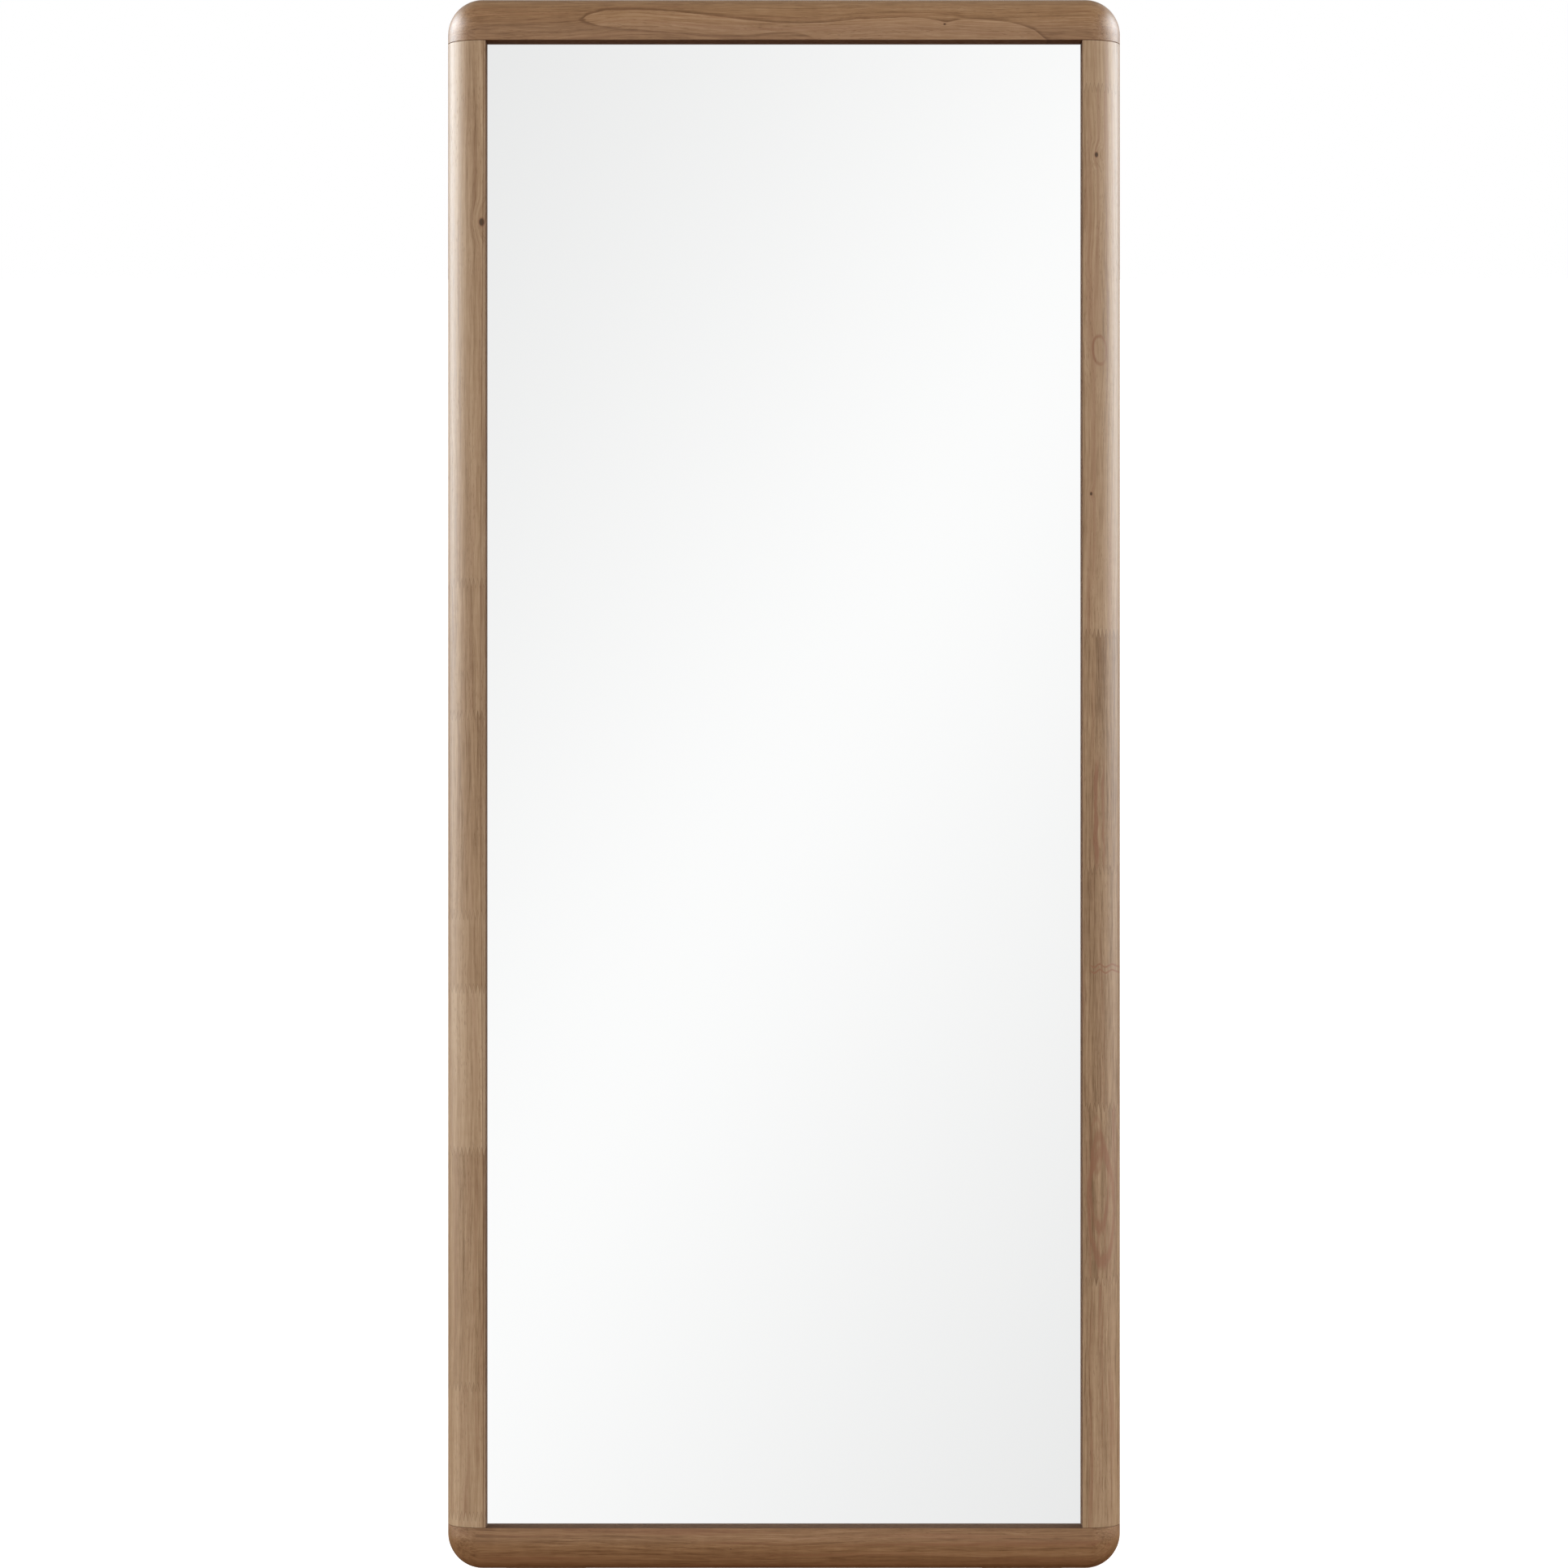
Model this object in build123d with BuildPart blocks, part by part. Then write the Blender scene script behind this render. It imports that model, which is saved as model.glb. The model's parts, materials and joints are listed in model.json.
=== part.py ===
from build123d import *
import math
import os

# A tall dressing mirror in a hardwood frame that leans back on a folding easel.
# +X is the viewer's right, the glass faces -Y, +Z is up and the floor is Z = 0.
# The origin is on the floor, in the middle of the object's footprint.
# Left and right are the viewer's.  "Depth" is measured square to the front face, going back.

# ---- frame ----
frame_width = 762.0
frame_height = 1778.0
frame_depth = 45.0
stile_width = 45.0
rail_height = 50.8
edge_radius = 38.0          # quarter-round along the outer front edge
corner_radius = 40.0        # corner seen from the front
back_arris_radius = 2.0

# ---- rebate and what it holds ----
lip_depth = 17.0            # wood in front of the glass
rebate_width = 10.0
glass_thickness = 4.0
glass_clearance = 1.0
tape_thickness = 2.0
tape_width = 12.0
tape_stop = 2 * tape_width          # from the edges of the glass to the ends of the strips
board_thickness = 6.0
bead_width = 9.5
bead_depth = 12.0
bead_chamfer = 3.0
bead_pin_radius = 0.7
bead_pin_length = 22.0
bead_pin_head_radius = 1.1
bead_pin_head_height = 0.8
bead_pins_per_stile = 7
bead_pins_per_rail = 3
bead_pin_pitch = 260.0

# ---- how the mirror stands ----
lean = 9.0                  # the frame leans back from upright
leg_splay = 6.0             # the open legs lean forward from upright
floor_gap = 2.0             # under the back edge of the bottom rail

# ---- corner joints ----
dowel_radius = 4.0
dowel_length = 50.0
dowel_end_gap = 1.0
dowel_depths = (11.0, 28.0)         # from the front face
dowel_inset = 24.0                  # from the outer edge of the stile
brace_leg = 82.0
brace_width = 16.0
brace_thickness = 2.0
brace_inset = 11.0                  # from the frame's outer edges
brace_outer_radius = 14.0
brace_end_radius = 4.0
brace_rail_screws = (34.0, 72.0)    # from the brace's outer corner, along the rail
brace_stile_screws = (55.0, 73.0)   # from the brace's outer corner, along the stile

# ---- fits and fasteners ----
running_clearance = 0.05
seat_clearance = 0.02
screw_radius = 2.0
screw_head_radius = 3.9
screw_head_depth = 1.9
screw_point_length = 4.0
screw_tip_radius = 0.3
bracket_screw_length = 22.0
short_screw_length = 12.0
pilot_extra = 1.0                   # pilot holes go deeper than the screws
recess_width = 1.1
recess_length = 4.4
recess_depth = 1.2

# ---- easel pivot ----
pivot_height = 1250.0               # along the frame, from its bottom edge
pivot_x = 360.0
bolt_radius = 4.0
plate_thickness = 2.5
bracket_length = 96.0
cheek_radius = 13.0
plate_corner_radius = 4.0
screw_row_offset = 36.0
screw_column_offset = 7.0
fold_gap = 3.0                      # leg to base plate with the easel folded
stop_gap = 0.3                      # leg bevel to base plate with the easel open
spacer_gap = 1.0                    # leg to cheek
spacer_thickness = 0.9
spacer_radius = 9.0
washer_thickness = 1.6
washer_radius = 8.0
nut_height = 8.0
nut_flats = 13.0
nut_collar_radius = 5.6
nut_collar_height = 1.8
bolt_head_radius = 8.5
bolt_head_height = 4.2
bolt_dome_radius = 3.4
bolt_end_length = 2.0
bolt_end_chamfer = 0.8
bush_radius = 6.0

# ---- easel ----
leg_width = 22.0
leg_thickness = 30.0
leg_top = 30.0                      # above the pivot
leg_arris_radius = 2.5
cross_rail_arris_radius = 2.0
cross_rail_height = 45.0
cross_rail_thickness = 18.0
cross_rail_drops = (390.0, 1060.0)  # below the pivot, along the leg
tenon_length = 13.0
tenon_height = 32.0
tenon_thickness = 9.0
tenon_clearance = 0.1
boot_wall = 2.5
boot_height = 24.0
boot_sole = 4.0

# ---- rubber under and behind the frame ----
foot_length = 90.0
foot_width = 8.0
foot_front = 35.0                   # from the front face
foot_x = 270.0
bumper_radius = 6.0
bumper_height = 5.2
bumper_dome_radius = 2.0
bumper_heights = (150.0, 700.0)     # along the frame

# ---- wall hangers ----
hanger_height = 1480.0              # of the ring's axis, along the frame
hanger_x = 362.0
strap_width = 15.0
strap_thickness = 2.0
strap_length = 46.0
strap_end_radius = 4.0
ring_wire_radius = 1.75
ring_inner_width = 20.0
ring_corner_radius = 2.6
ring_depth = 22.0                   # from the bar's axis to the bow's wire centre
strap_screw_drops = (17.0, 37.0)

# ---- worked out ----
lean_angle = math.radians(lean)
splay_angle = math.radians(leg_splay)
screw_head_angle = 2 * math.degrees(math.atan((screw_head_radius - screw_radius) / screw_head_depth))
opening_width = frame_width - 2 * stile_width
opening_height = frame_height - 2 * rail_height
rebate_opening_width = opening_width + 2 * rebate_width
rebate_opening_height = opening_height + 2 * rebate_width
glass_width = rebate_opening_width - 2 * glass_clearance
glass_height = rebate_opening_height - 2 * glass_clearance
tape_front = lip_depth + glass_thickness
board_front = tape_front + tape_thickness
bead_front = board_front + board_thickness
middle = frame_height / 2
pivot_depth = frame_depth + plate_thickness + fold_gap + leg_thickness / 2
cheek_gap = leg_width + 2 * spacer_gap
bracket_width = cheek_gap + 2 * plate_thickness

# The front plane's bottom edge stands at (0, front_y, front_z).
front_z = floor_gap + frame_depth * math.sin(lean_angle)
pivot_rise = pivot_height * math.cos(lean_angle) - pivot_depth * math.sin(lean_angle)
pivot_z = front_z + pivot_rise
pivot_run = pivot_height * math.sin(lean_angle) + pivot_depth * math.cos(lean_angle)
front_reach = edge_radius * (math.cos(lean_angle) + math.sin(lean_angle) - 1)
boot_reach = (leg_thickness / 2 + boot_wall) / math.cos(splay_angle)
back_reach = pivot_run + pivot_z * math.tan(splay_angle) + boot_reach
front_y = -(front_reach + back_reach) / 2
pivot_y = front_y + pivot_run
leg_length = pivot_z / math.cos(splay_angle)

up = Vector(0, math.sin(lean_angle), math.cos(lean_angle))
back = Vector(0, math.cos(lean_angle), -math.sin(lean_angle))
front_corner = Vector(0, front_y, front_z)
front_plane = Plane(origin=front_corner, x_dir=(1, 0, 0), z_dir=back * -1)
leg_up = Vector(0, -math.sin(splay_angle), math.cos(splay_angle))
leg_back = Vector(0, math.cos(splay_angle), math.sin(splay_angle))
pivot_point = Vector(0, pivot_y, pivot_z)


def face_plane(depth):
    """The plane square to the frame at a depth behind its front: X across, Y up the frame."""
    return front_plane.offset(-depth)


def frame_point(x, height, depth):
    """A point given across, up and into the frame."""
    return front_corner + up * height + back * depth + Vector(x, 0, 0)


def side_plane(x):
    """The plane across X at x: its X runs back from the front face, its Y up the frame."""
    return Plane(origin=frame_point(x, 0, 0), x_dir=back, z_dir=(1, 0, 0))


def level_plane(height):
    """The plane across the frame's length: its X runs to the right, its Y back into the frame."""
    return Plane(origin=frame_point(0, height, 0), x_dir=(1, 0, 0), z_dir=up)


def leg_plane(x):
    """The plane across X at x, centred on the pivot: its X runs back, its Y up the leg."""
    return Plane(origin=pivot_point + Vector(x, 0, 0), x_dir=leg_back, z_dir=(1, 0, 0))


def save(piece, name):
    piece.label = name
    export_step(piece, "parts/" + name + ".step")


os.makedirs("parts", exist_ok=True)

# ---- the frame's four members ----

pin_spots = []
for pin_side in (-1, 1):
    for pin_index in range(bead_pins_per_stile):
        pin_height = middle + (pin_index - (bead_pins_per_stile - 1) / 2) * bead_pin_pitch
        pin_spots.append((pin_side, 0, pin_height))
    for pin_index in range(bead_pins_per_rail):
        pin_x = (pin_index - (bead_pins_per_rail - 1) / 2) * bead_pin_pitch
        pin_spots.append((0, pin_side, pin_x))


def pin_plane(side_x, side_y, along):
    """A plane on the bead's inner face, with its normal pointing out into the frame member."""
    pin_depth = bead_front + bead_depth / 2
    if side_x:
        inner_x = side_x * (rebate_opening_width / 2 - bead_width)
        return Plane(origin=frame_point(inner_x, along, pin_depth), z_dir=(side_x, 0, 0))
    inner_y = middle + side_y * (rebate_opening_height / 2 - bead_width)
    return Plane(origin=frame_point(along, inner_y, pin_depth), z_dir=up * side_y)


def behind_plane(x, height, depth):
    """A plane square to the frame that faces backwards, at a point and a depth."""
    return Plane(origin=frame_point(x, height, depth), x_dir=(-1, 0, 0), z_dir=back)


def wood_screw(head_plane, length):
    """One countersunk wood screw: its head lies level with the plane, its point below it."""
    with Locations(head_plane.offset(-screw_head_depth / 2)):
        Cone(screw_radius, screw_head_radius, screw_head_depth)
    with Locations(head_plane.offset(-(length - screw_point_length) / 2)):
        Cylinder(screw_radius, length - screw_point_length)
    with Locations(head_plane.offset(-length + screw_point_length / 2)):
        Cone(screw_tip_radius, screw_radius, screw_point_length)
    with Locations(head_plane):
        Box(recess_length, recess_width, 2 * recess_depth, mode=Mode.SUBTRACT)
        Box(recess_width, recess_length, 2 * recess_depth, mode=Mode.SUBTRACT)


def pilot_hole(head_plane, length):
    """The hole for one screw, with a little room beside and beyond it."""
    with Locations(head_plane.offset(-(length + pilot_extra) / 2)):
        Cylinder(screw_radius + seat_clearance, length + pilot_extra, mode=Mode.SUBTRACT)


def screw_seat(head_plane, thickness):
    """A countersunk hole through a plate whose outer face is the plane."""
    with Locations(head_plane):
        CounterSinkHole(screw_radius + seat_clearance, screw_head_radius + seat_clearance,
                        depth=2 * thickness, counter_sink_angle=screw_head_angle)


brace_screws = []
for brace_side in (-1, 1):
    for brace_end in (-1, 1):
        brace_x = frame_width / 2 - brace_inset
        brace_y = frame_height / 2 - brace_inset
        for along in brace_rail_screws:
            brace_screws.append((brace_side * (brace_x - along),
                                 middle + brace_end * (brace_y - brace_width / 2)))
        for along in brace_stile_screws:
            brace_screws.append((brace_side * (brace_x - brace_width / 2),
                                 middle + brace_end * (brace_y - along)))

bracket_screws = []
strap_screws = []
for hardware_side in (-1, 1):
    for column in (-1, 1):
        for row in (-1, 1):
            bracket_screws.append((hardware_side * pivot_x + column * screw_column_offset,
                                   pivot_height + row * screw_row_offset))
    for drop in strap_screw_drops:
        strap_screws.append((hardware_side * hanger_x, hanger_height - drop))

screw_sets = {"corner_brace_screws": (brace_screws, brace_thickness, short_screw_length),
              "bracket_screws": (bracket_screws, plate_thickness, bracket_screw_length),
              "hanger_screws": (strap_screws, strap_thickness, short_screw_length)}

dowel_spots = []
for dowel_side in (-1, 1):
    for dowel_depth in dowel_depths:
        dowel_x = dowel_side * (frame_width / 2 - dowel_inset)
        for dowel_height in (rail_height, frame_height - rail_height):
            dowel_spots.append((dowel_x, dowel_height, dowel_depth))

with BuildPart() as blank:
    with BuildSketch(face_plane(frame_depth)):
        with Locations((0, middle)):
            RectangleRounded(frame_width, frame_height, corner_radius)
    extrude(amount=frame_depth)
    front_face = blank.faces().filter_by(Plane(origin=(0, 0, 0), z_dir=back)).sort_by(Axis.Y)[0]
    fillet(front_face.outer_wire().edges(), radius=edge_radius)
    back_face = blank.faces().filter_by(Plane(origin=(0, 0, 0), z_dir=back)).sort_by(Axis.Y)[-1]
    fillet(back_face.outer_wire().edges(), radius=back_arris_radius)
    with BuildSketch(face_plane(0)):
        with Locations((0, middle)):
            Rectangle(opening_width, opening_height)
    extrude(amount=-frame_depth, mode=Mode.SUBTRACT)
    with BuildSketch(face_plane(lip_depth)):
        with Locations((0, middle)):
            Rectangle(rebate_opening_width, rebate_opening_height)
    extrude(amount=-frame_depth, mode=Mode.SUBTRACT)
    for spot_x, spot_height, spot_depth in dowel_spots:
        with BuildSketch(level_plane(spot_height)):
            with Locations((spot_x, spot_depth)):
                Circle(dowel_radius + seat_clearance)
        extrude(amount=dowel_length / 2 + dowel_end_gap, both=True, mode=Mode.SUBTRACT)
    for pin_spot in pin_spots:
        with BuildSketch(pin_plane(*pin_spot)):
            Circle(bead_pin_radius + seat_clearance)
        extrude(amount=bead_pin_length + pilot_extra, mode=Mode.SUBTRACT)
    for spots, plate, length in screw_sets.values():
        for screw_x, screw_height in spots:
            pilot_hole(behind_plane(screw_x, screw_height, frame_depth + plate), length)

rail_joints = {"bottom_rail": (rail_height, Keep.BOTTOM),
               "top_rail": (frame_height - rail_height, Keep.TOP)}
for rail_name, (joint_height, kept_side) in rail_joints.items():
    with BuildPart() as rail:
        add(blank.part)
        split(bisect_by=level_plane(joint_height), keep=kept_side)
    save(rail.part, rail_name)

for stile_name, stile_side in (("left_stile", -1), ("right_stile", 1)):
    with BuildPart() as stile:
        add(blank.part)
        split(bisect_by=level_plane(rail_height), keep=Keep.TOP)
        split(bisect_by=level_plane(frame_height - rail_height), keep=Keep.BOTTOM)
        kept_half = Keep.TOP if stile_side > 0 else Keep.BOTTOM
        split(bisect_by=Plane.YZ, keep=kept_half)
    save(stile.part, stile_name)

with BuildPart() as dowels:
    for spot_x, spot_height, spot_depth in dowel_spots:
        with BuildSketch(level_plane(spot_height)):
            with Locations((spot_x, spot_depth)):
                Circle(dowel_radius)
        extrude(amount=dowel_length / 2, both=True)
save(dowels.part, "corner_dowels")

# ---- glass, foam tape and backing board ----

with BuildPart() as glass:
    with BuildSketch(face_plane(lip_depth)):
        with Locations((0, middle)):
            Rectangle(glass_width, glass_height)
    extrude(amount=-glass_thickness)
save(glass.part, "mirror_glass")

with BuildPart() as tape:
    with BuildSketch(face_plane(tape_front)):
        for tape_side in (-1, 1):
            with Locations((tape_side * (glass_width / 2 - tape_width), middle)):
                Rectangle(tape_width, glass_height - 2 * tape_stop)
            with Locations((0, middle + tape_side * (glass_height / 2 - tape_width))):
                Rectangle(glass_width - 2 * tape_stop, tape_width)
    extrude(amount=-tape_thickness)
save(tape.part, "cushion_tape")

with BuildPart() as board:
    with BuildSketch(face_plane(board_front)):
        with Locations((0, middle)):
            Rectangle(glass_width, glass_height)
    extrude(amount=-board_thickness)
save(board.part, "backing_board")

# ---- beads: bevelled strips in the rebate, mitred at the corners ----

with BuildPart() as bead_ring:
    with BuildSketch(face_plane(bead_front)):
        with Locations((0, middle)):
            Rectangle(rebate_opening_width, rebate_opening_height)
            bead_inner_width = rebate_opening_width - 2 * bead_width
            bead_inner_height = rebate_opening_height - 2 * bead_width
            Rectangle(bead_inner_width, bead_inner_height, mode=Mode.SUBTRACT)
    extrude(amount=-bead_depth)
    ring_back = bead_ring.faces().filter_by(Plane(origin=(0, 0, 0), z_dir=back)).sort_by(Axis.Y)[-1]
    chamfer(ring_back.inner_wires()[0].edges(), length=bead_chamfer)
    for pin_spot in pin_spots:
        with BuildSketch(pin_plane(*pin_spot)):
            Circle(bead_pin_radius + seat_clearance)
        extrude(amount=bead_width + 1, mode=Mode.SUBTRACT)
        with BuildSketch(pin_plane(*pin_spot)):
            Circle(bead_pin_head_radius + seat_clearance)
        extrude(amount=bead_pin_head_height + seat_clearance, mode=Mode.SUBTRACT)

outer_x = rebate_opening_width / 2
outer_y = rebate_opening_height / 2
inner_x = outer_x - 2 * bead_width
inner_y = outer_y - 2 * bead_width
bead_sides = {"left_bead": (-1, 0), "right_bead": (1, 0), "bottom_bead": (0, -1), "top_bead": (0, 1)}
for bead_name, (bead_x, bead_y) in bead_sides.items():
    with BuildPart() as bead:
        add(bead_ring.part)
        with BuildSketch(face_plane(frame_depth)):
            with BuildLine():
                if bead_x:
                    Polyline((bead_x * outer_x, middle - outer_y), (bead_x * outer_x, middle + outer_y),
                             (bead_x * inner_x, middle + inner_y), (bead_x * inner_x, middle - inner_y),
                             close=True)
                else:
                    Polyline((-outer_x, middle + bead_y * outer_y), (outer_x, middle + bead_y * outer_y),
                             (inner_x, middle + bead_y * inner_y), (-inner_x, middle + bead_y * inner_y),
                             close=True)
            make_face()
        extrude(amount=frame_depth, mode=Mode.INTERSECT)
    save(bead.part, bead_name)

with BuildPart() as bead_pins:
    for pin_spot in pin_spots:
        with BuildSketch(pin_plane(*pin_spot)):
            Circle(bead_pin_radius)
        extrude(amount=bead_pin_length)
        with BuildSketch(pin_plane(*pin_spot)):
            Circle(bead_pin_head_radius)
        extrude(amount=bead_pin_head_height)
save(bead_pins.part, "bead_pins")

# ---- steel angle plates across the butt joints ----

with BuildPart() as braces:
    for brace_side in (-1, 1):
        for brace_end in (-1, 1):
            far_x = brace_side * (frame_width / 2 - brace_inset)
            far_y = middle + brace_end * (frame_height / 2 - brace_inset)
            with BuildSketch(face_plane(frame_depth)) as angle:
                with BuildLine():
                    Polyline((far_x, far_y), (far_x - brace_side * brace_leg, far_y),
                             (far_x - brace_side * brace_leg, far_y - brace_end * brace_width),
                             (far_x - brace_side * brace_width, far_y - brace_end * brace_width),
                             (far_x - brace_side * brace_width, far_y - brace_end * brace_leg),
                             (far_x, far_y - brace_end * brace_leg), close=True)
                make_face()
                heel = angle.vertices().sort_by_distance((far_x, far_y))
                fillet(heel[0], radius=brace_outer_radius)
                ends = angle.vertices().sort_by_distance((far_x, far_y))[-4:]
                fillet(ends, radius=brace_end_radius)
            extrude(amount=-brace_thickness)
    for screw_x, screw_height in brace_screws:
        screw_seat(behind_plane(screw_x, screw_height, frame_depth + brace_thickness), brace_thickness)
save(braces.part, "corner_braces")

# ---- easel brackets: a base plate with two rounded cheeks ----

for bracket_name, side in (("left_pivot_bracket", -1), ("right_pivot_bracket", 1)):
    with BuildPart() as bracket:
        with BuildSketch(face_plane(frame_depth)):
            with Locations((side * pivot_x, pivot_height)):
                RectangleRounded(bracket_width, bracket_length, plate_corner_radius)
        extrude(amount=-plate_thickness)
        for cheek_side in (-1, 1):
            cheek_inner = side * pivot_x + cheek_side * cheek_gap / 2
            with BuildSketch(side_plane(cheek_inner)):
                cheek_reach = pivot_depth - frame_depth
                with Locations((frame_depth + cheek_reach / 2, pivot_height)):
                    Rectangle(cheek_reach, 2 * cheek_radius)
                with Locations((pivot_depth, pivot_height)):
                    Circle(cheek_radius)
            extrude(amount=cheek_side * plate_thickness)
        with BuildSketch(leg_plane(side * pivot_x)):
            Circle(bolt_radius + running_clearance)
        extrude(amount=bracket_width, both=True, mode=Mode.SUBTRACT)
        for screw_x, screw_height in bracket_screws:
            if screw_x * side > 0:
                seat_plane = behind_plane(screw_x, screw_height, frame_depth + plate_thickness)
                screw_seat(seat_plane, plate_thickness)
    save(bracket.part, bracket_name)

# ---- wall hangers: a strap rolled round the straight side of a D-shaped ring ----

loop_inner_radius = ring_wire_radius + running_clearance
loop_outer_radius = loop_inner_radius + strap_thickness
ring_axis_depth = frame_depth + loop_outer_radius
ring_half_width = ring_inner_width / 2 + ring_wire_radius

for strap_name, side in (("left_hanger_strap", -1), ("right_hanger_strap", 1)):
    with BuildPart() as strap:
        with BuildSketch(side_plane(side * hanger_x)):
            with Locations((ring_axis_depth, hanger_height)):
                Circle(loop_outer_radius)
            with Locations((frame_depth + strap_thickness / 2, hanger_height - strap_length / 2)):
                Rectangle(strap_thickness, strap_length)
            with Locations((ring_axis_depth, hanger_height)):
                Circle(loop_inner_radius, mode=Mode.SUBTRACT)
        extrude(amount=strap_width / 2, both=True)
        strap_tail = strap.faces().sort_by(Axis(origin=(0, 0, 0), direction=up))[0]
        fillet(strap_tail.edges().filter_by(Axis(origin=(0, 0, 0), direction=back)), strap_end_radius)
        for screw_x, screw_height in strap_screws:
            if screw_x * side > 0:
                seat_plane = behind_plane(screw_x, screw_height, frame_depth + strap_thickness)
                screw_seat(seat_plane, strap_thickness)
    save(strap.part, strap_name)

for ring_name, side in (("left_d_ring", -1), ("right_d_ring", 1)):
    ring_centre = frame_point(side * hanger_x, hanger_height, ring_axis_depth)
    ring_plane = Plane(origin=ring_centre, x_dir=(1, 0, 0), z_dir=(0, -1, 0))
    with BuildPart() as ring:
        with BuildLine(ring_plane) as ring_path:
            bow_drop = ring_depth - ring_half_width
            FilletPolyline((-ring_half_width, -bow_drop), (-ring_half_width, 0),
                           (ring_half_width, 0), (ring_half_width, -bow_drop),
                           radius=ring_corner_radius)
            ThreePointArc((ring_half_width, -bow_drop), (0, -ring_depth), (-ring_half_width, -bow_drop))
        ring_start = ring_centre + Vector(-ring_half_width, 0, -bow_drop)
        with BuildSketch(Plane(origin=ring_start, z_dir=(0, 0, 1))):
            Circle(ring_wire_radius)
        sweep(path=ring_path.wire())
    save(ring.part, ring_name)

for screws_name, (spots, plate, length) in screw_sets.items():
    with BuildPart() as screws:
        for screw_x, screw_height in spots:
            wood_screw(behind_plane(screw_x, screw_height, frame_depth + plate), length)
    save(screws.part, screws_name)

# ---- easel pivots: bolt, bush, spacers, washer and locking nut ----

with BuildPart() as bolts:
    for side in (-1, 1):
        head_face = side * (pivot_x + bracket_width / 2)
        grip = bracket_width + washer_thickness + nut_height + bolt_end_length
        with BuildSketch(leg_plane(head_face)):
            Circle(bolt_head_radius)
        head = extrude(amount=side * bolt_head_height)
        crown = head.edges().filter_by(GeomType.CIRCLE).sort_by(Axis.X)
        fillet(crown[-1] if side > 0 else crown[0], radius=bolt_dome_radius)
        with BuildSketch(leg_plane(head_face)):
            Circle(bolt_radius)
        extrude(amount=-side * grip)
        ends = bolts.edges().filter_by(GeomType.CIRCLE).filter_by(lambda rim: rim.center().X * side > 0)
        ends = ends.sort_by(Axis.X)
        chamfer(ends[0] if side > 0 else ends[-1], length=bolt_end_chamfer)
save(bolts.part, "pivot_bolts")

with BuildPart() as washers:
    for side in (-1, 1):
        with BuildSketch(leg_plane(side * (pivot_x - bracket_width / 2))):
            Circle(washer_radius)
            Circle(bolt_radius + running_clearance, mode=Mode.SUBTRACT)
        extrude(amount=-side * washer_thickness)
save(washers.part, "pivot_washers")

with BuildPart() as nuts:
    for side in (-1, 1):
        nut_face = pivot_x - bracket_width / 2 - washer_thickness
        with BuildSketch(leg_plane(side * nut_face)):
            RegularPolygon(nut_flats / 2, 6, major_radius=False)
        extrude(amount=-side * (nut_height - nut_collar_height))
        with BuildSketch(leg_plane(side * nut_face)):
            Circle(nut_collar_radius)
        extrude(amount=-side * nut_height)
        with BuildSketch(leg_plane(side * nut_face)):
            Circle(bolt_radius + seat_clearance)
        extrude(amount=-side * nut_height, mode=Mode.SUBTRACT)
save(nuts.part, "pivot_nuts")

with BuildPart() as bushes:
    for side in (-1, 1):
        with BuildSketch(leg_plane(side * pivot_x)):
            Circle(bush_radius)
            Circle(bolt_radius + running_clearance, mode=Mode.SUBTRACT)
        extrude(amount=leg_width / 2, both=True)
save(bushes.part, "leg_bushes")

with BuildPart() as spacers:
    for side in (-1, 1):
        for cheek_side in (-1, 1):
            spacer_middle = side * pivot_x + cheek_side * (leg_width + spacer_gap) / 2
            with BuildSketch(leg_plane(spacer_middle)):
                Circle(spacer_radius)
                Circle(bolt_radius + running_clearance, mode=Mode.SUBTRACT)
            extrude(amount=spacer_thickness / 2, both=True)
save(spacers.part, "leg_spacers")

# ---- easel legs, cross rails and boots ----


def leg_section(x, along):
    """The plane square to a leg at a distance up it from the pivot: its X runs to the right."""
    return Plane(origin=pivot_point + leg_up * along + Vector(x, 0, 0), x_dir=(1, 0, 0), z_dir=leg_up)


for leg_name, side in (("left_leg", -1), ("right_leg", 1)):
    with BuildPart() as leg:
        with BuildSketch(leg_section(side * pivot_x, leg_top)):
            RectangleRounded(leg_width, leg_thickness, leg_arris_radius)
        extrude(amount=-leg_top - leg_length)
        split(bisect_by=Plane.XY.offset(boot_sole), keep=Keep.TOP)
        split(bisect_by=face_plane(frame_depth + plate_thickness + stop_gap), keep=Keep.BOTTOM)
        with BuildSketch(leg_plane(side * pivot_x)):
            Circle(bush_radius + seat_clearance)
        extrude(amount=leg_width, both=True, mode=Mode.SUBTRACT)
        for drop in cross_rail_drops:
            with BuildSketch(leg_plane(side * (pivot_x - leg_width / 2))):
                with Locations((0, -drop)):
                    Rectangle(tenon_thickness + 2 * tenon_clearance, tenon_height + 2 * tenon_clearance)
            extrude(amount=side * (tenon_length + pilot_extra), mode=Mode.SUBTRACT)
    save(leg.part, leg_name)

for rail_name, drop in zip(("upper_cross_rail", "lower_cross_rail"), cross_rail_drops):
    with BuildPart() as cross_rail:
        with BuildSketch(leg_plane(0)):
            with Locations((0, -drop)):
                RectangleRounded(cross_rail_thickness, cross_rail_height, cross_rail_arris_radius)
        extrude(amount=pivot_x - leg_width / 2, both=True)
        with BuildSketch(leg_plane(0)):
            with Locations((0, -drop)):
                Rectangle(tenon_thickness, tenon_height)
        extrude(amount=pivot_x - leg_width / 2 + tenon_length, both=True)
    save(cross_rail.part, rail_name)

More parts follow.
